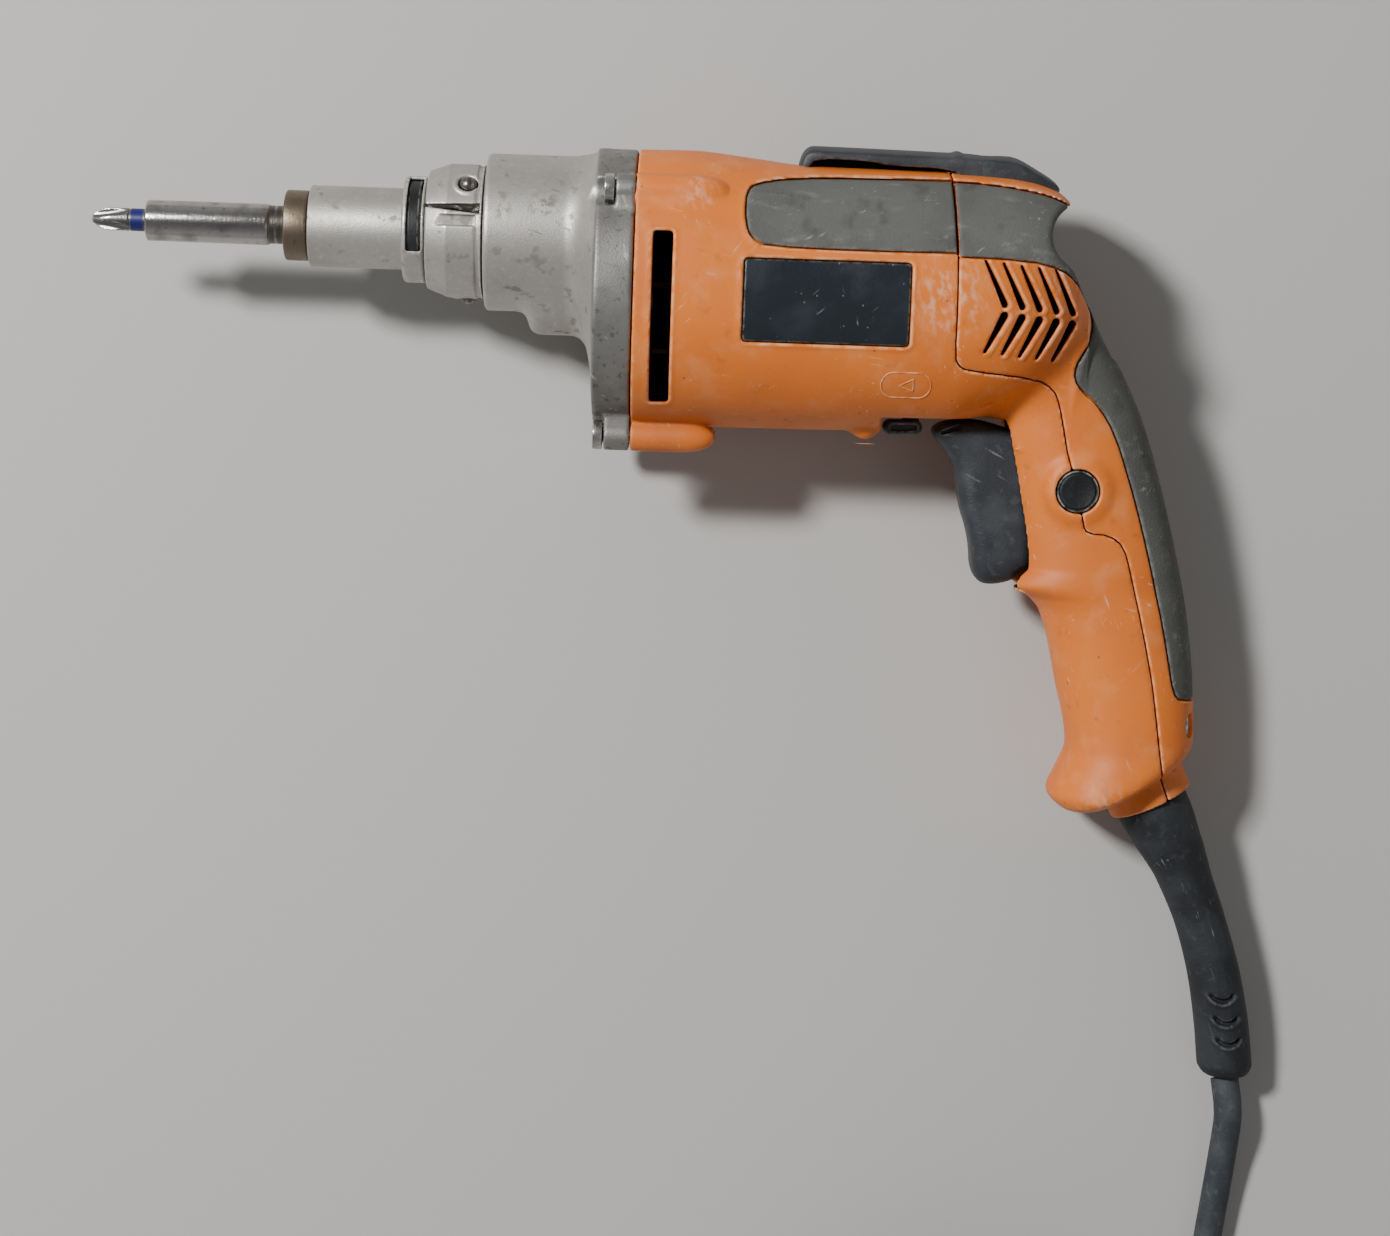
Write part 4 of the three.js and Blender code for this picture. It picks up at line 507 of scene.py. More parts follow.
def across_skirt(x, y):
    return (x - SKIRT_START[0]) * SKIRT_DIRECTION[1] - (y - SKIRT_START[1]) * SKIRT_DIRECTION[0]


def skirt(x, y, z):
    """The round end of the grip that the strain relief comes out of."""
    lengthwise = np.abs(along_skirt(x, y) + SKIRT_LENGTH) - SKIRT_LENGTH
    return soft_max(np.hypot(across_skirt(x, y), z) - SKIRT_R, lengthwise, 0.5)


def boss(x, y, z, y0, z0, length):
    """A screw boss that ends in a rounded nose."""
    nose = np.clip((x - length + 11) / 11, 0, 1)
    radius = BOSS_R * np.sqrt(1 - nose**2.6)
    return np.maximum((np.hypot(y - y0, np.abs(z) - z0) - radius) * 0.8, JOINT_GAP - x)


def plastic(x, y, z):
    """The whole plastic body, before it is hollowed and split."""
    form = soft_min(barrel(x, y, z), grip(x, y, z), 7)
    notch_x, notch_y, notch_r = WEB_NOTCH
    notch = soft_min(np.hypot(x - notch_x, y - notch_y) - notch_r, web_slope(x, y), 2)
    form = soft_max(form, -notch, 2.5)
    form = soft_min(form, skirt(x, y, z), 2.2)
    for y0, z0, length, _face in CASE_SCREWS:
        form = soft_min(form, boss(x, y, z, y0, z0, length), 1.6)
    bump_x, bump_y, bump_r, bump_half = BELLY_BUMP
    form = soft_min(form, rod_z(x, y, z, -bump_half, bump_half, bump_x, bump_y, bump_r, 3), 3)
    rim = rod_z(x, y, z, 10, 18.3, *LOCK, 8.5, 3.2)
    return soft_min(form, rim, 3)


def louvers(x, y):
    """Distance to the chevron slots of the rear cover, negative inside them."""
    nearest = FAR
    for i in range(LOUVER["count"]):
        bend = LOUVER["x"] + i * LOUVER["pitch"]
        drop = i * LOUVER["drop"]
        bridge = LOUVER["mid"] - drop
        top = (bend - LOUVER["upper_bend"], LOUVER["top"] - drop)
        bottom = (bend - LOUVER["lower_bend"], LOUVER["bottom"] - drop)
        upper = streak(x, y, top, (bend, bridge + 1.2), 0.35, 0.9)
        lower = streak(x, y, (bend, bridge - 1.7), bottom, 1.1, 0.45)
        nearest = np.minimum(nearest, np.minimum(upper, lower))
    return nearest


def relief(x, y):
    """Height of the raised lips on both sides of the plastic."""
    lips = 0.3 * hill(oblong(x, y, *LABEL, 1.5) - 0.7, 0.8)
    lips = lips + 0.25 * hill(side_zone(x, y) - 0.6, 0.8) * (x < 84)
    lips = lips + 0.25 * hill(oblong(x, y, *VENT, 0.8) - 0.6, 0.8)
    return lips + 0.3 * hill(louvers(x - 0.9, y + 0.2) - 0.1, 0.8) * (x > 90)


def shell(x, y, z):
    """The plastic wall with the openings that both mouldings share."""
    skin = plastic(x, y, z)
    raised = skin - relief(x, y) * (np.abs(z) > 12)
    wall = np.maximum(raised, -(skin + WALL))
    outer = 15 - np.abs(z)
    vent = soft_max(oblong(x, y, *VENT, 0.8), outer, 0.5)
    wall = soft_max(wall, -vent, 0.5)
    wall = soft_max(wall, -np.maximum(louvers(x, y), 12 - np.abs(z)), 0.4)
    slot = np.maximum(oblong(x, y, *TRIGGER_SLOT), np.abs(z) - 9.4)
    wall = soft_max(wall, -slot, 0.8)
    lock_hole = np.maximum(np.hypot(x - LOCK[0], y - LOCK[1]) - LOCK_R - 0.35, -z)
    wall = soft_max(wall, -lock_hole, 0.5)
    lever_hole = np.hypot(x - LEVER_PIN_X, z) - LEVER_HOLE_R
    wall = np.maximum(wall, -np.maximum(lever_hole, y + 40))
    boot_hole = np.maximum(np.hypot(across_skirt(x, y), z) - BOOT_HOLE_R, -(along_skirt(x, y) + 13))
    return np.maximum(wall, -boot_hole)


def housing(x, y, z):
    wall = soft_max(shell(x, y, z), -(behind_seam(x, y) - SEAM_GAP), 0.35)
    skin = plastic(x, y, z)
    beside = SIDE_START - np.abs(z)
    under_grip = np.maximum(np.maximum(side_zone(x, y) - SEAM_GAP, -(skin + RUBBER + 0.1)), beside)
    wall = soft_max(wall, -under_grip, 0.3)
    under_label = np.maximum(np.maximum(oblong(x, y, *LABEL, 1.2), -(skin + LABEL_DEPTH)), beside)
    wall = soft_max(wall, -under_label, 0.3)
    for y0, z0, length, _face in CASE_SCREWS:
        hole = np.maximum(np.hypot(y - y0, np.abs(z) - z0) - 2.4, x - length + 5)
        wall = np.maximum(wall, -hole)
    return wall


def cover(x, y, z):
    wall = soft_max(shell(x, y, z), behind_seam(x, y) + SEAM_GAP, 0.35)
    skin = plastic(x, y, z)
    under_spine = np.maximum(spine_zone(x, y) - SEAM_GAP, -(skin + RUBBER + 0.1))
    wall = soft_max(wall, -under_spine, 0.35)
    pocket = np.hypot(y - COVER_SCREW[1], np.abs(z) - COVER_SCREW[2]) - 3.5
    wall = soft_max(wall, -np.maximum(pocket, COVER_SCREW[0] - x), 0.5)
    screw_hole = np.where(y < 0, FAR, np.hypot(x - HOOK_SCREW[0], z) - 1.9)
    return np.maximum(wall, -screw_hole)


def rubber_layer(zone, skin, edge=0.9):
    """A layer of rubber inside a zone, its surface a little under the plastic's."""
    return soft_max(np.maximum(skin + 0.12, -(skin + RUBBER)), zone + SEAM_GAP, edge)


def side_rubber(x, y, z):
    zone = np.maximum(side_zone(x, y), SEAM_GAP - behind_seam(x, y))
    return np.maximum(rubber_layer(zone, plastic(x, y, z)), SIDE_START - np.abs(z))


def spine_rubber(x, y, z):
    zone = np.maximum(spine_zone(x, y), behind_seam(x, y) + SEAM_GAP)
    return rubber_layer(zone, plastic(x, y, z))


def direction_mark(x, y, z):
    """A raised arrowhead in a raised oval, on the left side."""
    mark_x, mark_y, width, height = PILL
    oval_edge = oblong(x, y, mark_x - width / 2, mark_y - height / 2, mark_x + width / 2,
                       mark_y + height / 2, height / 2)
    lines = np.minimum(np.abs(oval_edge), np.abs(arrow_edge(x, y))) - 0.24
    return soft_max(lines, np.abs(plastic(x, y, z)) - 0.22, 0.35)


def inner_rib(x, y, z):
    """The rib along the middle of the cover, which the louvers look on to."""
    inside = np.maximum(plastic(x, y, z) + WALL, np.abs(z) - 0.8)
    return np.maximum(inside, np.maximum(91 - x, -31 - y))


def plate(x, y, z):
    """A label plate in its recess."""
    skin = plastic(x, y, z)
    thin = np.maximum(skin + 0.35, -(skin + LABEL_DEPTH - 0.2))
    return soft_max(soft_max(thin, oblong(x, y, *LABEL, 1.1) + 0.25, 0.4), SIDE_START - np.abs(z), 0.1)


# ---------------------------------------------------------------- controls and hook
TRIGGER = [
    (82, -50.4), (85.6, -47.2), (94.5, -46.5), (99.8, -47.6), (110, -50.5), (113, -86), (108.8, -88),
    (106.6, -90.6), (100.2, -92), (96.6, -90.8), (95, -87), (94.8, -82.5), (93.6, -76.6),
    (91.2, -70.4), (90, -61.7), (87.4, -55.6),
]
TRIGGER_HALF = 9
HOOK = [
    (43.4, 21.3), (44.4, 24.6), (46, 26.2), (48, 26.5), (100, 25.6), (103.4, 24.8), (107.4, 22.6),
    (113, 19.4), (114.8, 17.2), (113, 16.6), (108.5, 18.3), (104, 19), (96, 19.8), (86.6, 20.2),
    (85.2, 22.7), (67.7, 23), (62.2, 24.1), (48, 24.3), (45.9, 21.3),
]
HOOK_HALF = 9.5
HOOK_BEND = 50  # the larger, the flatter the hook is across
COVER_SCREW = (155.6, -128.6, 9)
trigger_side = polygon(eased(TRIGGER, times=2))
hook_side = polygon(eased(HOOK))


def trigger(x, y, z):
    half = TRIGGER_HALF - 0.9 * hill(y + 92, 14)
    form = soft_max(trigger_side(x, y), np.abs(z) - half, 5)
    notch = streak(x, y, (85.4, -50.2), (89.6, -48.6), 0.4, 0.5)
    return soft_max(form, -np.maximum(notch, 7 - np.abs(z)), 0.4)


def reversing_lever(x, y, z):
    arm = streak(x, y, (71.4, -49.4), (78.2, -49.2), 2.0, 1.9)
    form = soft_max(arm, np.abs(z) - 4.2, 1.4)
    dimple = np.maximum(streak(x, y, (72.2, -49.5), (77.8, -49.2), 0.8, 0.7), 3.4 - np.abs(z))
    pin = np.maximum(np.hypot(x - LEVER_PIN_X, z) - LEVER_PIN_R, np.abs(y + 45.4) - 3)
    return soft_min(soft_max(form, -dimple, 0.5), pin, 0.5)


def belt_hook(x, y, z):
    half = HOOK_HALF - 1.2 * np.clip((52 - x) / 9, 0, 1) ** 2 - 1.8 * np.clip((x - 104) / 10, 0, 1) ** 2
    form = soft_max(hook_side(x, y + z * z / HOOK_BEND), np.abs(z) - half, 1.1)
    ridge = rod_z(x, y + z * z / HOOK_BEND, z, -8.6, 8.6, 86.4, 25.2, 0.9, 0.6)
    form = soft_min(form, ridge, 1.6)
    flange = np.maximum(oblong(x, y, 46, 20.9, 84, 23.6, 0.5), np.abs(z + 8.5) - 0.8)
    form = soft_min(form, flange, 0.8)
    from_screw = np.hypot(x - HOOK_SCREW[0], z)
    seat = np.maximum(from_screw - 3.4, 23.7 - y)
    return np.maximum(soft_max(form, -seat, 0.4), 1.8 - from_screw)


def lock_button(x, y, z):
    r = np.hypot(x - LOCK[0], y - LOCK[1])
    dish = 0.5 * np.clip(1 - (r / 4.6) ** 2, 0, 1)
    groove = 0.35 * hill(r - 4.95, 0.35)
    return soft_max(r - LOCK_R, np.abs(z - 15.6) - 2.5 + (z > 15) * (dish + groove), 0.5)


# ---------------------------------------------------------------- gear case and nose
CASE_X, CASE_R = -41, 21.35
CASE_WALL = 3.6
FLANGE_R, FLANGE_Y = 37.4, -13.7
SHOULDER = (-19.5, 9)
PINION_Y = -16.875
NOSE_X, NOSE_R = -89.3, 11.1
NOSE_BORE = NOSE_R + 0.3  # of the pieces that sit on the nose tube
DETENT = (-57, -41.6, 16, 18.2, 5.8)
BALL_X, BALL_R = -45.7, 2.4
BALL_STAND_OUT = 1.6
BALL_ANGLES = [math.radians(degrees) for degrees in (45, 180, 315)]
LOCK_RING = (-63.5, -57.3, 14.5)
NOSE_TUBE = [
    # x and r, as in the two outlines below
    (NOSE_X, 8), (NOSE_X, NOSE_R), (-35.5, NOSE_R), (-35.5, 15), (-33.5, 15), (-33.5, 8),
]
NOSE_COLLAR = [(-96.1, 5.9), (-96.1, 9.6), (-89.6, 9.6), (-89.6, 5.9)]
BIT_HOLDER = [
    (-134.2, 3.4), (-134.2, 5.6), (-100.9, 5.6), (-100.5, 5.2), (-91.5, 5.2), (-91.5, 3), (-83.5, 3),
    (-83.5, 0.1), (-118.2, 0.1), (-118.2, 3.4),
]

flare = [math.radians(degrees) for degrees in range(0, 88, 4)]
flare_x = [SHOULDER[0] + SHOULDER[1] * math.sin(a) for a in flare]
case_radius = Curve([(-45, CASE_R), (-30, CASE_R)] + [
    (x, CASE_R + (FLANGE_R - CASE_R) * (1 - math.cos(a))) for x, a in zip(flare_x, flare)])
case_y = Curve([(-45, 0), (-30, 0)] + [
    (x, FLANGE_Y * (1 - math.cos(a))) for x, a in zip(flare_x, flare)])


def gear_case(x, y, z):
    out = np.hypot(y - case_y(x), z)
    steep = np.sqrt(1 + (case_radius.slope(x) + np.abs(case_y.slope(x))) ** 2)
    form = soft_max((out - case_radius(x)) / steep, CASE_X - x, 1.2)
    form = np.maximum(form, x + 8)
    boss_end = rod_x(x, y, z, -29, -8, PINION_Y, 0, 10.6, 4)
    form = soft_min(form, boss_end, 4)
    flange = rod_x(x, y, z, -10.5, -JOINT_GAP, FLANGE_Y, 0, FLANGE_R, 0.9)
    form = soft_min(form, flange, 1.0)
    side = np.abs(z)
    behind = x - CASE_WALL
    inner_steep = np.sqrt(1 + (case_radius.slope(behind) + np.abs(case_y.slope(behind))) ** 2)
    inside = (np.hypot(y - case_y(behind), z) - case_radius(behind) + CASE_WALL) / inner_steep
    inside = np.maximum(inside, CASE_X + 4.6 - x)
    for y0, z0, _length, face in CASE_SCREWS:
        away = np.hypot(y - y0, side - z0)
        inside = np.maximum(inside, 6.6 - away)
        pocket = np.maximum(away - 4.9, np.abs(x - face + 6) - 6)
        form = soft_max(form, -pocket, 0.8)
        inwards = math.copysign(BOSS_R * 0.7, FLANGE_Y - y0)
        rib = np.maximum(np.abs(y - y0 - inwards) - BOSS_R * 0.7, np.abs(side - z0) - BOSS_R + 0.3)
        lug = soft_max(np.minimum(away - BOSS_R, rib), np.abs(x - face / 2) + face / 2 + JOINT_GAP, 0.5)
        form = soft_min(form, lug, 0.8)
        form = np.maximum(form, np.minimum(2.3 - away, x - face + 1))
    form = np.maximum(form, -inside)
    return soft_max(form, NOSE_BORE - np.hypot(y, z), 0.5)


def detent_collar(x, y, z):
    x0, x1, front_r, rear_r, cone = DETENT
    r = np.hypot(y, z)
    taper = front_r + (rear_r - front_r) * np.clip((x - x0) / cone, 0, 1)
    groove = 0.5 * np.clip(hill(x - x1 + 1.1, 0.75) * 3, 0, 1)
    form = soft_max(r - taper + groove, np.abs(x - (x0 + x1) / 2) - (x1 - x0) / 2, 0.5)
    form = np.maximum(form, NOSE_BORE - r)
    slot_half = 0.35 + 0.07 * (x - x0)
    slot = np.maximum(np.maximum(np.abs(y - 6.6 + 0.03 * (x - x0)) - slot_half, x - x1 + 0.5), 10 - z)
    form = soft_max(form, -slot, 0.2)
    flat = np.maximum(np.abs(y - 2.9) - 1.5, 16.9 - z)
    form = soft_max(form, -np.maximum(flat, x - x1 + 1.5), 0.2)
    for angle in BALL_ANGLES:
        up, side = math.cos(angle), math.sin(angle)
        away = np.hypot(x - BALL_X, y * side - z * up)
        outwards = y * up + z * side
        form = soft_max(form, -np.maximum(away - 2.7, 12.2 - outwards), 0.3)
        form = form - 0.3 * hill(away - 3.5, 0.8) * (outwards > 0)
    return form


def lock_ring(x, y, z):
    x0, x1, radius = LOCK_RING
    r = np.hypot(y, z)
    form = soft_max(r - radius, np.abs(x - (x0 + x1) / 2) - (x1 - x0) / 2, 1.2)
    form = np.maximum(form, NOSE_BORE - r)
    seat = np.maximum(r - radius + 0.9, np.abs(x - (x0 + x1) / 2) - 1.9)
    form = np.maximum(form, -seat)
    slot = np.maximum(oblong(x, y, x0 + 1.3, -5.8, x1 - 0.8, 16, 0.6), 2 - z)
    return soft_max(form, -slot, 0.3)


def lock_spring(x, y, z):
    x0, x1, _radius = LOCK_RING
    r = np.hypot(y, z)
    band = soft_max(np.abs(r - 12.6) - 0.75, np.abs(x - (x0 + x1) / 2) - 1.6, 0.4)
    return np.maximum(band, -np.maximum(np.abs(z) - 2, y))


SPRING_WIRE = 0.6
SPRING_TURNS = 2.5
BIT_TIP = -149.4
bit_radius = Curve([(BIT_TIP, 0.9), (BIT_TIP + 1, 1.7), (BIT_TIP + 3.2, 2.7), (BIT_TIP + 6, 3.05),
                    (BIT_TIP + 9.5, 3.1), (BIT_TIP + 11, 3.1)])


def screw_bit(x, y, z):
    r = np.hypot(y, z)
    form = soft_max(r - bit_radius(x), BIT_TIP - x, 0.2)
    form = soft_max(form, x + 118.6, 0.3)
    out = (np.abs(y) + np.abs(z)) / math.sqrt(2)
    beside = (np.abs(y) - np.abs(z)) / math.sqrt(2)
    rise = np.maximum(x - BIT_TIP, 0)
    flute = 1.5 - np.hypot(out - 2.15 - 0.012 * rise**2 - 0.1 * rise, beside)
    form = soft_max(form, flute, 0.2)
    return soft_max(form, r - 3.1 + 0.25 * hill(x + 138.9, 0.35), 0.05)


# ---------------------------------------------------------------- strain relief, cord and plug
BOOT = [
    # y, x and z of the middle, and the radius
    (-138, 141.5, 0, 10.6), (-151.4, 148.2, 0, 10.4), (-160.6, 152.8, 0, 9.3), (-173, 159.2, 0, 7.4),
    (-186.3, 164.8, -0.2, 7), (-200.8, 169.3, -0.6, 7.3), (-214.6, 172.1, -1.1, 7.6),
    (-226.2, 173.7, -1.7, 7.7), (-229.6, 174.1, -1.9, 6),
]
BOOT_END = -229.6
CRESCENTS = [(170.8, -207), (172.3, -213.4), (173.3, -219.6)]
boot_x, boot_z, boot_r = (Curve([(s[0], s[i]) for s in BOOT]) for i in (1, 2, 3))
CORD_R = 4
CORD_EXIT = (174.1, -230.5, -1.9)
CORD_ROUTE = [
    (159.4, -138, 9.2), (158.8, -149, 6.4), (157.5, -161, 4.6), (155.6, -175, 4), (153.9, -189, 4),
    (153, -203, 4), (152.8, -218, 4), (152.8, -230, 4),
]
COIL = (90.4, -240)
COIL_RADIUS = [
    # turns, and the radius of the coil's line there
    (0, 62.4), (0.2, 54), (1, 54), (1.25, 46), (2, 46), (2.25, 38), (4, 38), (4.25, 46), (5, 46),
    (5.25, 54), (7, 54), (7.25, 46), (8, 46), (8.25, 38), (9.05, 38), (9.6, 54), (9.8, 62.4),
    (10.25, 62.4),
]
COIL_HEIGHT = [
    (0, 4), (2.75, 4), (3.05, 12), (5.75, 12), (6.05, 20), (8.75, 20), (9.05, 28), (9.8, 28),
    (10.0, 20), (10.1, 12), (10.18, 5), (10.25, 4),
]
TAIL_ROUTE = [
    (89, -302.4, 4), (76, -302.6, 4), (62, -301, 4.6), (52, -299.2, 7.6), (46, -298.7, 9),
    (41, -298.7, 9),
]
PLUG_Y, PLUG_Z = -298.7, 9
PLUG_END = 41.7
PLUG_HOLE = (33, CORD_R - 0.2)  # where the cord's hole starts, and its radius
PLUG = [
    # x, half width and half height
    (PLUG_END, 4.9, 4.9), (32, 5.7, 5.7), (29.5, 6.2, 6), (26, 9.6, 7.9), (22.4, 11.8, 8.8), (18, 12, 9),
    (8, 11.7, 9), (0, 12, 9), (-2.3, 11.6, 8.7),
]
plug_low, plug_high = (Curve([(x, PLUG_Y + side * w) for x, w, _h in PLUG]) for side in (-1, 1))
plug_half = Curve([(x, h) for x, _w, h in PLUG])
BLADE = (-19.6, -2.2, 12.7, 1.5, 6.3)
TIE_TURN = 115  # degrees round the coil
TIE_HALF_WIDTH, TIE_HALF_THICK = 4.5, 0.6
TIE_MIDDLE = (46, 14)
TIE_REACH = (13.1, 18.4)


def strain_relief(x, y, z):
    lean = 1 / np.sqrt(1 + boot_x.slope(y) ** 2)
    across, up = (x - boot_x(y)) * lean, z - boot_z(y)
    around = np.hypot(across, up)
    form = (around - boot_r(y)) * 0.97
    cuts = 0
    for cut_x, cut_y in CRESCENTS:
        reach = np.hypot(x - cut_x, (y - cut_y - 3.4) * 1.1)
        low = np.clip((cut_y + 2.6 - y) / 1.2, 0, 1)
        cuts = cuts + low * (1.3 * hill(reach - 3.4, 0.9) - 0.4 * hill(reach - 4.8, 1.1))
    form = form + cuts * (np.abs(up) > 1)
    seam_line = 0.12 * hill(across - 2.2, 0.4) * (up > 0)
    form = soft_max(form - seam_line, BOOT_END - y, 1.2)
    return soft_max(form, 0.2 - along_skirt(x, y), 0.4)


def plug(x, y, z):
    form = oval(x, y, z - PLUG_Z, plug_low, plug_high, plug_half, 2.8)
    form = soft_max(soft_max(form, -2.3 - x, 1.6), x - PLUG_END, 0.8)
    for step in range(4):
        form = form + 0.5 * hill(x - 32.4 - step * 2.4, 0.7) * (np.abs(z - PLUG_Z) > 1.2)
    for step in range(5):
        on_side = np.abs(y - PLUG_Y) > 9.4
        form = form + 0.55 * hill(x - 6.4 - step * 2.6, 0.9) * on_side
    cord_hole = np.where(x < PLUG_HOLE[0], FAR, np.hypot(y - PLUG_Y, z - PLUG_Z) - PLUG_HOLE[1])
    return np.maximum(form, -cord_hole)


def blade(side):
    x0, x1, spacing, thick, wide = BLADE

    def field(x, y, z):
        flat = oblong(x, z, x0, PLUG_Z - wide / 2, x1, PLUG_Z + wide / 2, 1.2)
        flat = soft_max(flat, 1.5 - np.hypot(x - x0 - 4, z - PLUG_Z), 0.2)
        return soft_max(flat, np.abs(y - PLUG_Y - side * spacing / 2) - thick / 2, 0.5)

    return field


def tie(x, y, z):
    """The strap across the coil, in the coil's own frame: x outwards, y along the cord."""
    wide = np.abs(x - TIE_MIDDLE[0]) - TIE_REACH[0]
    high = np.abs(z - TIE_MIDDLE[1]) - TIE_REACH[1]
    loop = soft_max(high, wide, 9)
    band = np.maximum(np.abs(loop + 0.4) - TIE_HALF_THICK, np.abs(y) - TIE_HALF_WIDTH)
    return soft_max(band, 0.3 - z, 0.3)


def smooth_route(points, step):
    """Points every `step` along a smooth line through the given points."""
    line = [Vector(p) for p in points]
    line = [2 * line[0] - line[1], *line, 2 * line[-1] - line[-2]]
    made = []
    for a, b, c, d in zip(line, line[1:], line[2:], line[3:]):
        count = max(1, round((c - b).length / step))
        for i in range(count):
            t = i / count
            made.append(0.5 * ((2 * b) + (c - a) * t + (2 * a - 5 * b + 4 * c - d) * t * t
                               + (3 * b - a - 3 * c + d) * t**3))
    return [*made, line[-2]]


def coil_points(per_turn=20):
    radius, height = Curve(COIL_RADIUS, 0.005), Curve(COIL_HEIGHT, 0.005)
    turns = np.arange(1, int(COIL_RADIUS[-1][0] * per_turn)) / per_turn
    return [
        (COIL[0] + radius(t) * math.cos(2 * math.pi * t), COIL[1] - radius(t) * math.sin(2 * math.pi * t),
         float(height(t)))
        for t in turns
    ]


def add_cord():
    start = TOOL @ Vector(CORD_EXIT) * 1000
    points = smooth_route([start, *CORD_ROUTE, *coil_points(), *TAIL_ROUTE], 3)
    curve = bpy.data.curves.new("cord_line", "CURVE")
    curve.dimensions = "3D"
    curve.bevel_depth = CORD_R / 1000
    curve.bevel_resolution = 6
    curve.use_fill_caps = True
    line = curve.splines.new("POLY")
    line.points.add(len(points) - 1)
    for point, place in zip(line.points, points):
        point.co = (*(place / 1000), 1)
    line.use_smooth = True
    cord = bpy.data.objects.new("cord_line", curve)
    bpy.context.scene.collection.objects.link(cord)
    return cord, start / 1000


# ---------------------------------------------------------------- materials


def shade(red, green, blue):
    """A linear colour from 0..255 screen values."""
    return (*[(c / 255) ** 2.2 for c in (red, green, blue)], 1)


class Look:
    """A material whose colour, roughness and relief are layered by procedural masks."""

    def __init__(self, name, colour, roughness, metallic=0.0, specular=0.5):
        self.material = bpy.data.materials.new(name)
        self.material.use_nodes = True
        self.tree = self.material.node_tree
        self.shader = self.tree.nodes["Principled BSDF"]
        self.place = self.node("ShaderNodeTexCoord").outputs["Object"]
        for entry, value in (("Base Color", colour), ("Roughness", roughness),
                             ("Metallic", metallic), ("Specular IOR Level", specular)):
            self.shader.inputs[entry].default_value = value

    def node(self, kind, **settings):
        made = self.tree.nodes.new(kind)
        for key, value in settings.items():
            setattr(made, key, value)
        return made

    def feed(self, socket, value):
        if isinstance(value, (int, float, tuple)):
            socket.default_value = value
        else:
            self.tree.links.new(value, socket)

    def between(self, value, low, high):
        """0 at `low` and 1 at `high`, smoothly."""
        made = self.node("ShaderNodeMapRange", interpolation_type="SMOOTHSTEP")
        self.feed(made.inputs["Value"], value)
        made.inputs["From Min"].default_value = low
        made.inputs["From Max"].default_value = high
        return made.outputs["Result"]

    def noise(self, size, low=0.4, high=0.6, detail=4, stretch=(1, 1, 1), turn=0.0, shift=0.0):
        """Mottling with features of `size` millimetres, stretched along the axes and turned about Z."""
        mapping = self.node("ShaderNodeMapping", vector_type="TEXTURE")
        self.feed(mapping.inputs["Vector"], self.place)
        mapping.inputs["Rotation"].default_value = (0, 0, math.radians(turn))
        mapping.inputs["Scale"].default_value = stretch
        mapping.inputs["Location"].default_value = (shift, shift, shift)
        made = self.node("ShaderNodeTexNoise")
        self.feed(made.inputs["Vector"], mapping.outputs["Vector"])
        made.inputs["Scale"].default_value = 1000 / size
        made.inputs["Detail"].default_value = detail
        return self.between(made.outputs["Fac"], low, high)

    def spots(self, size, radius, shift=0.0):
        """Scattered dots, `size` millimetres apart."""
        mapping = self.node("ShaderNodeMapping")
        self.feed(mapping.inputs["Vector"], self.place)
        mapping.inputs["Location"].default_value = (shift, shift, shift)
        made = self.node("ShaderNodeTexVoronoi")
        self.feed(made.inputs["Vector"], mapping.outputs["Vector"])
        made.inputs["Scale"].default_value = 1000 / size
        return self.between(made.outputs["Distance"], radius, radius * 0.5)

    def near(self, spot, radius):
        """1 at a spot given in tool coordinates, falling to 0 at `radius` millimetres."""
        made = self.node("ShaderNodeVectorMath", operation="DISTANCE")
        self.feed(made.inputs[0], self.place)
        made.inputs[1].default_value = TOOL @ Vector(spot)
        return self.between(made.outputs["Value"], radius / 1000, 0.2 * radius / 1000)

    def attribute(self, name, low, high):
        made = self.node("ShaderNodeAttribute", attribute_name=name)
        return self.between(made.outputs["Fac"], low, high)

    def along(self, axis, low, high):
        """0 at one place of an axis and 1 at the other, both in tool millimetres."""
        index = "XYZ".index(axis)
        ends = [(TOOL @ (Matrix.Identity(3)[index] * place))[index] for place in (low, high)]
        split = self.node("ShaderNodeSeparateXYZ")
        self.feed(split.inputs["Vector"], self.place)
        return self.between(split.outputs[axis], *ends)

    def product(self, first, *rest):
        for value in rest:
            made = self.node("ShaderNodeMath", operation="MULTIPLY")
            self.feed(made.inputs[0], first)
            self.feed(made.inputs[1], value)
            first = made.outputs[0]
        return first

    def wear(self, edge, patches, colour, roughness, amount):
        """Paints the raised edges. `edge` is the range of edge, `patches` the settings of a noise."""
        mask = self.product(self.attribute("edge", *edge), self.noise(*patches))
        self.paint(mask, colour, roughness, amount)

    def scratch(self, lines, patches, colour, roughness, amount):
        """Paints thin lines in patches. Both are the settings of a noise."""
        self.paint(self.product(self.noise(*lines), self.noise(*patches)), colour, roughness, amount)

    def layer(self, entry, mask, value):
        """Puts `value` over a shader input where the mask is 1."""
        socket = self.shader.inputs[entry]
        kind = "RGBA" if socket.type == "RGBA" else "FLOAT"
        mix = self.node("ShaderNodeMix", data_type=kind, clamp_factor=True)
        inputs = {s.name: s for s in mix.inputs if s.enabled}
        output = next(s for s in mix.outputs if s.enabled)
        if socket.is_linked:
            self.feed(inputs["A"], socket.links[0].from_socket)
        else:
            inputs["A"].default_value = socket.default_value
        self.feed(inputs["B"], value)
        self.feed(inputs["Factor"], mask)
        self.feed(socket, output)

    def paint(self, mask, colour, roughness=None, amount=1.0):
        mask = self.product(mask, amount)
        self.layer("Base Color", mask, colour)
        if roughness is not None:
            self.layer("Roughness", mask, roughness)

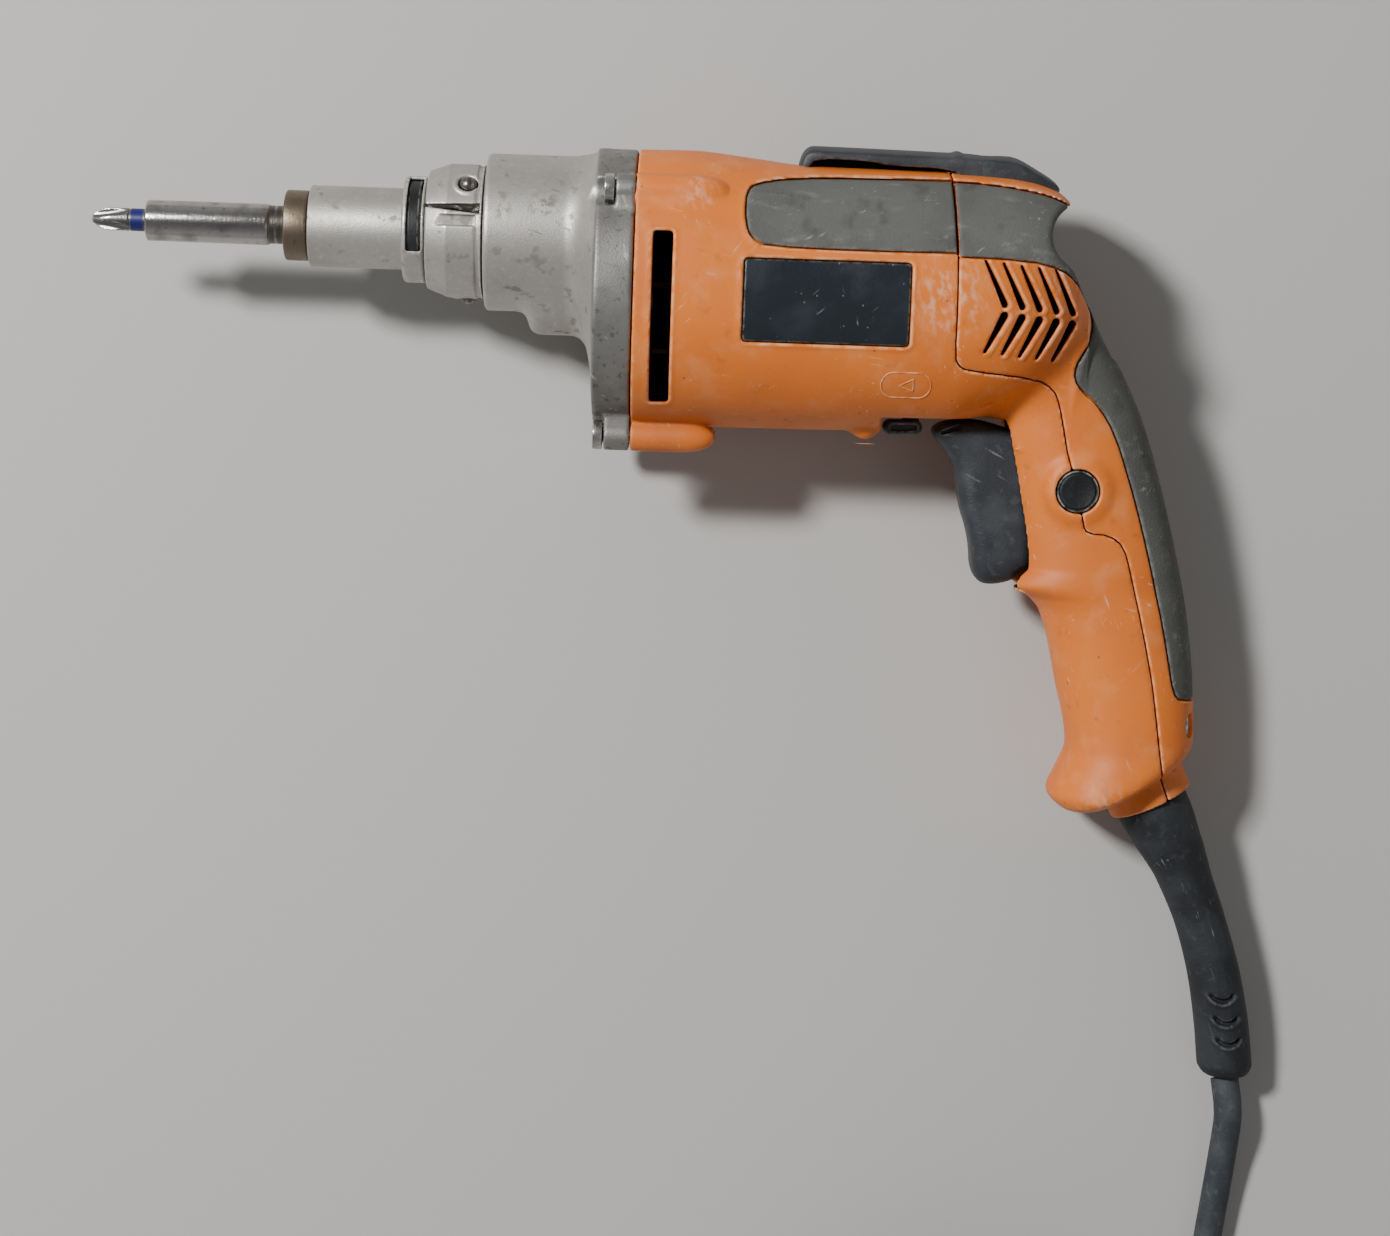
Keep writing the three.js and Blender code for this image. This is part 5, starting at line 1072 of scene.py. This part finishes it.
    def bump(self, height, depth):
        """Raises the surface by `depth` millimetres where the height is 1."""
        made = self.node("ShaderNodeBump")
        made.inputs["Distance"].default_value = depth / 1000
        self.feed(made.inputs["Height"], height)
        socket = self.shader.inputs["Normal"]
        if socket.is_linked:
            self.feed(made.inputs["Normal"], socket.links[0].from_socket)
        self.feed(socket, made.outputs["Normal"])


# a spot in tool coordinates, and the radius of the mark there
SCUFFS = [((84, -13, 33), 15), ((112, -8, 24), 12), ((134, -152, 16), 11), ((16, 12, 28), 8)]
STAINS = [((-24.7, 8, 20), 6), ((-36, 6, 20), 4)]
# places in tool coordinates, each pair from where a layer is nothing to where it is full
# painted shade on the barrel's underside: none above y = -33 and behind x = 92, full below y = -52 and
# ahead of x = 80
UNDERSIDE_SHADE_Y, UNDERSIDE_SHADE_X = (-33, -52), (92, 80)
FLANGE_X = (-11.2, -10.2)
NECK_X = (-100.9, -100.4)
BAND_FRONT_X, BAND_REAR_X = (-138.6, -138.3), (-134.9, -135.2)


def orange_plastic():
    look = Look("orange_plastic", shade(222, 116, 38), 0.5, specular=0.42)
    look.paint(look.noise(30, 0.35, 0.65), shade(205, 104, 36), 0.55, 0.6)
    look.paint(look.noise(9, 0.5, 0.72, 6), shade(222, 138, 84), 0.62, 0.45)
    look.paint(look.noise(5, 0.6, 0.75, 8, shift=3.0), shade(160, 84, 36), 0.6, 0.4)
    dirt = look.product(look.attribute("hollow", -0.02, -0.16), look.noise(4, 0.3, 0.6))
    look.paint(dirt, shade(96, 56, 32), 0.75, 0.7)
    look.wear((0.06, 0.3), (3, 0.35, 0.6, 6), shade(238, 176, 130), 0.6, 0.75)
    for turn, shift in ((28, 1.0), (-38, 2.0), (80, 5.0)):
        lines = (0.9, 0.65, 0.71, 3, (1, 22, 1), turn, shift)
        patches = (16, 0.52, 0.68, 4, (1, 1, 1), 0, shift)
        look.scratch(lines, patches, shade(236, 184, 146), 0.65, 0.6)
    for spot, radius in SCUFFS:
        scuff = look.product(look.near(spot, radius), look.noise(1.6, 0.44, 0.7, 10, (1, 2, 1), 15))
        look.paint(scuff, shade(224, 180, 152), 0.7, 0.6)
    # painted shade: the underside of the barrel made darker towards the bottom and the front, in patches
    underside_shade = look.product(look.along("Y", *UNDERSIDE_SHADE_Y), look.along("X", *UNDERSIDE_SHADE_X), look.noise(16, 0.1, 0.9, 3))
    look.paint(underside_shade, shade(150, 88, 50), 0.66, 0.5)
    look.paint(look.spots(8, 0.07, 0.4), shade(120, 68, 38), 0.7, 0.6)
    look.bump(look.noise(0.5, 0.2, 0.8), 0.02)
    return look.material


def grip_rubber():
    look = Look("grip_rubber", shade(84, 84, 81), 0.8, specular=0.3)
    look.paint(look.noise(24, 0.35, 0.7, 6), shade(98, 98, 94), 0.86, 0.7)
    look.paint(look.noise(4, 0.58, 0.78, 8, (2.5, 1, 1)), shade(136, 136, 130), 0.9, 0.4)
    look.paint(look.noise(8, 0.55, 0.75, 6, shift=2.0), shade(66, 66, 63), 0.78, 0.6)
    look.wear((0.08, 0.35), (2.5, 0.4, 0.62, 6), shade(146, 146, 138), 0.9, 0.6)
    look.scratch((1.0, 0.63, 0.7, 3, (1, 18, 1), -50), (10, 0.45, 0.62), shade(158, 158, 150), 0.9, 0.5)
    look.bump(look.noise(0.7, 0.3, 0.7), 0.05)
    return look.material


def dark_plastic(name, colour, chalk):
    look = Look(name, colour, 0.5, specular=0.45)
    look.paint(look.noise(10, 0.42, 0.66, 6), chalk, 0.66, 0.35)
    look.paint(look.noise(2.6, 0.56, 0.7, 8), chalk, 0.72, 0.4)
    look.wear((0.1, 0.32), (2, 0.35, 0.6, 6), shade(150, 150, 146), 0.7, 0.75)
    dirt = look.attribute("hollow", -0.04, -0.2)
    look.paint(dirt, shade(24, 22, 20), 0.8, 0.5)
    look.scratch((0.9, 0.64, 0.7, 3, (1, 18, 1), 62), (8, 0.5, 0.66), shade(140, 140, 136), 0.7, 0.45)
    look.bump(look.noise(0.6, 0.3, 0.7), 0.03)
    return look.material


def cast_metal():
    look = Look("cast_metal", shade(178, 174, 167), 0.46, 0.72)
    look.paint(look.noise(18, 0.38, 0.66, 6), shade(160, 156, 149), 0.55, 0.6)
    look.paint(look.noise(1.6, 0.5, 0.75, 8), shade(208, 205, 198), 0.42, 0.35)
    look.paint(look.noise(5, 0.6, 0.68, 8, shift=4.0), shade(112, 107, 99), 0.7, 0.6)
    dirt = look.product(look.attribute("hollow", -0.03, -0.2), look.noise(3, 0.3, 0.6))
    look.paint(dirt, shade(92, 86, 78), 0.8, 0.65)
    look.wear((0.08, 0.3), (1.8, 0.36, 0.56, 6), shade(236, 234, 228), 0.24, 0.8)
    look.scratch((1.1, 0.63, 0.69, 4, (1, 22, 1), 75), (9, 0.5, 0.64), shade(74, 70, 65), 0.6, 0.7)
    flange = look.along("X", *FLANGE_X)
    look.paint(flange, shade(118, 117, 114), 0.5, 0.75)
    for patches, colour, roughness, amount in (
        ((12, 0.4, 0.65, 6), shade(98, 96, 93), 0.55, 0.5),
        ((1.8, 0.6, 0.66, 8), shade(70, 68, 65), 0.6, 0.5),
        ((3, 0.66, 0.71, 8, (1, 3, 1), 20, 7.0), shade(206, 204, 198), 0.35, 0.6),
    ):
        look.paint(look.product(flange, look.noise(*patches)), colour, roughness, amount)
    for spot, radius in STAINS:
        stain = look.product(look.near(spot, radius), look.noise(2.4, 0.46, 0.6, 10))
        look.paint(stain, shade(96, 92, 86), 0.65, 0.7)
    look.paint(look.spots(3.2, 0.1), shade(92, 88, 82), 0.6, 0.35)
    look.bump(look.noise(0.5, 0.25, 0.75, 5), 0.022)
    return look.material


def turned_metal(name, colour, roughness, dark):
    look = Look(name, colour, roughness, 0.95)
    look.paint(look.noise(7, 0.45, 0.7, 6), dark, roughness + 0.14, 0.5)
    look.paint(look.noise(1.5, 0.58, 0.72, 8), dark, roughness + 0.2, 0.5)
    rings = look.noise(0.7, 0.3, 0.7, 2, (1, 50, 50))
    look.layer("Roughness", look.product(rings, 0.35), roughness + 0.1)
    look.bump(rings, 0.008)
    look.bump(look.noise(0.6, 0.4, 0.7, 4), 0.012)
    return look


def holder_chrome():
    look = turned_metal("holder_chrome", shade(172, 169, 166), 0.15, shade(84, 77, 70))
    neck = look.product(look.along("X", *NECK_X), look.noise(1.2, 0.25, 0.55, 4, (1, 40, 40)))
    look.paint(neck, shade(78, 70, 62), 0.4, 0.8)
    return look.material


def bit_steel():
    look = turned_metal("bit_steel", shade(128, 126, 124), 0.28, shade(62, 58, 54))
    band = look.product(look.along("X", *BAND_FRONT_X), look.along("X", *BAND_REAR_X))
    look.layer("Metallic", band, 0.0)
    look.paint(band, shade(20, 25, 92), 0.45)
    look.wear((0.1, 0.3), (1, 0.35, 0.6), shade(230, 228, 224), 0.2, 0.8)
    return look.material


def label_film():
    look = Look("label_film", shade(27, 33, 39), 0.36, specular=0.5)
    look.paint(look.noise(14, 0.42, 0.66, 6), shade(42, 48, 54), 0.45, 0.6)
    for turn, shift in ((15, 0.0), (-48, 1.0)):
        lines = (0.8, 0.66, 0.72, 3, (1, 25, 1), turn, shift)
        patches = (12, 0.52, 0.66, 4, (1, 1, 1), 0, shift)
        look.scratch(lines, patches, shade(120, 122, 124), 0.6, 0.5)
    look.wear((0.08, 0.3), (1.5, 0.35, 0.6), shade(120, 118, 112), 0.6, 0.6)
    look.paint(look.spots(3.4, 0.1), shade(128, 122, 112), 0.6, 0.5)
    look.bump(look.noise(1.2, 0.35, 0.7), 0.015)
    return look.material


def cord_rubber(name, colour, chalk):
    look = Look(name, colour, 0.62, specular=0.35)
    look.paint(look.noise(12, 0.4, 0.66, 6), chalk, 0.72, 0.5)
    look.paint(look.noise(2.2, 0.55, 0.7, 8), chalk, 0.78, 0.5)
    look.scratch((1.0, 0.63, 0.7, 3, (1, 15, 1), 20), (9, 0.48, 0.64), shade(126, 128, 128), 0.75, 0.5)
    look.wear((0.1, 0.4), (1.5, 0.35, 0.6), shade(110, 112, 112), 0.75, 0.4)
    look.bump(look.noise(0.8, 0.3, 0.7), 0.04)
    return look.material


def winding():
    look = Look("winding", shade(168, 92, 52), 0.3, 0.85)
    strands = look.noise(0.9, 0.35, 0.65, 2, (7, 1, 1))
    look.paint(strands, shade(98, 48, 26), 0.45, 0.7)
    look.paint(look.noise(4, 0.5, 0.7, 6), shade(70, 40, 26), 0.5, 0.5)
    look.bump(strands, 0.12)
    return look.material


def stacked_steel():
    look = Look("stacked_steel", shade(96, 92, 88), 0.4, 0.9)
    sheets = look.noise(0.6, 0.35, 0.65, 1, (1, 90, 90))
    look.paint(sheets, shade(60, 56, 52), 0.55, 0.6)
    look.paint(look.noise(5, 0.55, 0.7, 6), shade(84, 60, 44), 0.65, 0.45)
    look.bump(sheets, 0.06)
    return look.material


def dusty(name, colour, dust, roughness, metallic=0.0):
    """A hidden part's material, with dust and stains."""
    look = Look(name, colour, roughness, metallic)
    look.paint(look.noise(6, 0.42, 0.68, 6), dust, roughness + 0.15, 0.5)
    look.paint(look.noise(1.4, 0.55, 0.72, 8), dust, roughness + 0.2, 0.45)
    look.bump(look.noise(0.9, 0.3, 0.7), 0.04)
    return look.material


# ---------------------------------------------------------------- assembly


def fit(piece, look, slot, body, *nodes):
    piece.data.materials.append(look)
    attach(piece, body)
    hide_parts(*nodes)
    return piece


orange = orange_plastic()
rubber = grip_rubber()
control = dark_plastic("control_plastic", shade(44, 47, 51), shade(74, 78, 82))
black = dark_plastic("black_plastic", shade(18, 19, 21), shade(44, 46, 50))
cast = cast_metal()
chrome = holder_chrome()
bright = turned_metal("bright_steel", shade(186, 184, 180), 0.24, shade(104, 98, 90)).material
collar_metal = turned_metal("collar_metal", shade(124, 112, 98), 0.42, shade(84, 74, 62)).material
boot_rubber = cord_rubber("boot_rubber", shade(36, 38, 41), shade(58, 61, 65))
cord_jacket = cord_rubber("cord_jacket", shade(52, 56, 60), shade(80, 84, 88))
film = label_film()

cord_line, cord_start = add_cord()
fit(cord_line, cord_jacket, "cord_rubber", HOUSING, "cord", "cord_coil", "cord_tail")

fit(solid("housing_shell", housing, (0, -157, -38), (152, 26, 38), 0.55), orange, "housing_orange",
    HOUSING, "motor_housing")
fit(solid("direction_mark", direction_mark, (66, -43, 20), (83, -33, 36), 0.2), orange,
    "housing_orange", HOUSING)
fit(solid("cover_shell", cover, (84, -162, -36), (162, 22, 36), 0.5), orange, "housing_orange",
    HOUSING, "rear_cover")
for side, name in ((1, "left"), (-1, "right")):
    z0, z1 = sorted((10 * side, 38 * side))
    fit(solid(f"side_rubber_{name}", side_rubber, (27, -4, z0), (91, 20, z1), 0.35), rubber,
        "grip_rubber", HOUSING, f"side_grip_{name}")
    fit(solid(f"label_plate_{name}", plate, (28, -29, z0), (77, -3, z1), 0.3), film,
        "label_plate", HOUSING, f"label_{name}")
fit(solid("spine_rubber", spine_rubber, (84, -125, -36), (161, 22, 36), 0.5), rubber, "grip_rubber",
    HOUSING, "cover_grip")
fit(solid("cover_rib", inner_rib, (91, -31, -1), (124, 18, 1), 0.5), black, "black_plastic", HOUSING)
fit(solid("hook", belt_hook, (42, 16, -10), (116, 28, 10), 0.35), control, "control_plastic",
    HOUSING, "belt_hook")
fit(solid("case", gear_case, (-42, -59, -38), (0.5, 25, 38), 0.45), cast, "cast_metal", HOUSING,
    "gear_case")
fit(solid("detent_sleeve", detent_collar, (-58, -19, -19), (-41, 19, 19), 0.25), cast, "cast_metal",
    HOUSING, "detent_collar")
fit(solid("locator_ring", lock_ring, (-64, -15, -15), (-57, 15, 15), 0.25), cast, "cast_metal",
    HOUSING, "lock_ring")
fit(solid("spring_band", lock_spring, (-63, -14, -14), (-58, 14, 14), 0.25), black, "dark_steel",
    HOUSING, "lock_spring")
fit(solid("driver_bit", screw_bit, (BIT_TIP, -3.3, -3.3), (-118, 3.3, 3.3), 0.14), bit_steel(),
    "bright_steel", "spindle", "screw_bit")
fit(solid("trigger_lever", trigger, (81, -93, -10), (114, -45, 10), 0.35), control, "control_plastic",
    "trigger", "trigger")
fit(solid("reversing_loop", reversing_lever, (68, -52, -5), (82, -41, 5), 0.2), control,
    "control_plastic", "reversing_lever", "reversing_lever")
fit(solid("lock_cap", lock_button, (115, -71, 11), (129, -57, 19), 0.2), black, "black_plastic",
    "lock_button", "lock_button")
fit(solid("cord_boot", strain_relief, (135, -231, -13), (184, -142, 13), 0.4), boot_rubber,
    "cord_rubber", HOUSING, "strain_relief")
plug_piece = fit(solid("plug_grip", plug, (-4, -312, -1), (43, -286, 19), 0.4, ROW), boot_rubber,
                 "cord_rubber", HOUSING, "plug_body")
blades = [
    fit(solid(f"blade_{i}", blade(side), (-20, -308, 5), (-2, -289, 13), 0.2, ROW), bright, "brass",
        HOUSING, f"plug_blade_{i}")
    for i, side in ((1, 1), (2, -1))
]
spot = Matrix.Translation((COIL[0] / 1000, COIL[1] / 1000, 0))
strap_space = spot @ Matrix.Rotation(math.radians(TIE_TURN), 4, "Z") @ ROW
strap = fit(solid("coil_strap", tie, (31, -6, -1), (61, 6, 34), 0.35, strap_space), control,
            "control_plastic", HOUSING, "coil_tie")

fit(turned("tube", NOSE_TUBE, rounding=0.6), cast, "cast_metal", HOUSING, "nose_tube")
fit(turned("collar", NOSE_COLLAR, rounding=0.8), collar_metal, "bearing_bronze", HOUSING, "nose_collar")
fit(turned("holder", BIT_HOLDER, rounding=0.7), chrome, "holder_chrome", "spindle", "bit_holder")
for i, angle in enumerate(BALL_ANGLES, 1):
    centre = DETENT[3] + BALL_STAND_OUT - BALL_R
    ball = [(BALL_X - BALL_R * math.cos(a), max(BALL_R * math.sin(a), 0.01))
            for a in np.linspace(0, math.pi, 24)]
    fit(turned(f"ball_{i}", ball, (centre * math.cos(angle), centre * math.sin(angle)), 0.05, 32), chrome,
        "bright_steel", f"detent_ball_{i}", f"detent_ball_{i}")


def screw(name, x, y, z, way, head_r, head, shank_r, length):
    """A socket-headed screw along X, its face at x and its shank running `way`."""
    socket, depth = head_r * 0.45, 1.3
    profile = [(0, head_r), (head, head_r), (head, shank_r), (length, shank_r), (length, 0.1),
               (depth, 0.1), (depth, socket), (0, socket)]
    profile = [(x + way * along, r) for along, r in profile]
    return turned(name, profile, (y, z), 0.35, 48)


case_places = [(y, side * z, face) for side in (1, -1) for y, z, _length, face in CASE_SCREWS]
for i, (y, z, face) in enumerate(case_places, 1):
    fit(screw(f"case_bolt_{i}", face - 2.9, y, z, 1, 4, 2.6, 2, 26.6), bright, "bright_steel", HOUSING,
        f"case_screw_{i}")
for i, side in ((1, 1), (2, -1)):
    x, y, z = COVER_SCREW
    fit(screw(f"cover_bolt_{i}", x + 0.6, y, side * z, -1, 3, 2, 1.5, 15), bright, "bright_steel", HOUSING,
        f"cover_screw_{i}")
hook_bolt = screw("hook_bolt", 0, 0, 0, -1, 3, 1.3, 1.5, 17)
upright = Matrix.Translation((*HOOK_SCREW, 0)) @ Matrix.Rotation(math.pi / 2, 4, "Z")
hook_bolt.data.transform(TOOL @ upright @ TOOL.inverted())
fit(hook_bolt, bright, "bright_steel", HOUSING, "hook_screw")

spring_low, spring_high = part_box("clutch_spring")
spring_start, spring_end = (TOOL.inverted() @ Vector((x, 0, 0)) for x in (spring_low.x, spring_high.x))
spring_radius = (spring_high.y - spring_low.y) / 2 * 1000 - SPRING_WIRE
wire = helix("coil_spring", spring_start.x, spring_end.x, spring_radius, SPRING_WIRE, SPRING_TURNS)
coil_spring = fit(wire, bright, "bright_steel", "spindle", "clutch_spring")
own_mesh(coil_spring)

hidden = {
    "bright_steel": bright,
    "dark_steel": stacked_steel(),
    "copper": winding(),
    "brass": dusty("brass", shade(170, 140, 82), shade(110, 92, 60), 0.4, 0.85),
    "carbon": dusty("carbon", shade(34, 34, 35), shade(62, 60, 58), 0.65),
    "black_plastic": dusty("inner_black", shade(20, 21, 22), shade(66, 58, 50), 0.6),
    "control_plastic": control,
    "cast_metal": cast,
    "bearing_bronze": collar_metal,
}
node_slot = {part["node"]: part["material_slot"] for part in frame["record"]["subparts"]}
for name, node in frame["nodes"].items():
    if name in bpy.data.objects and node_slot[name] in hidden:
        node.data.materials.clear()
        node.data.materials.append(hidden[node_slot[name]])
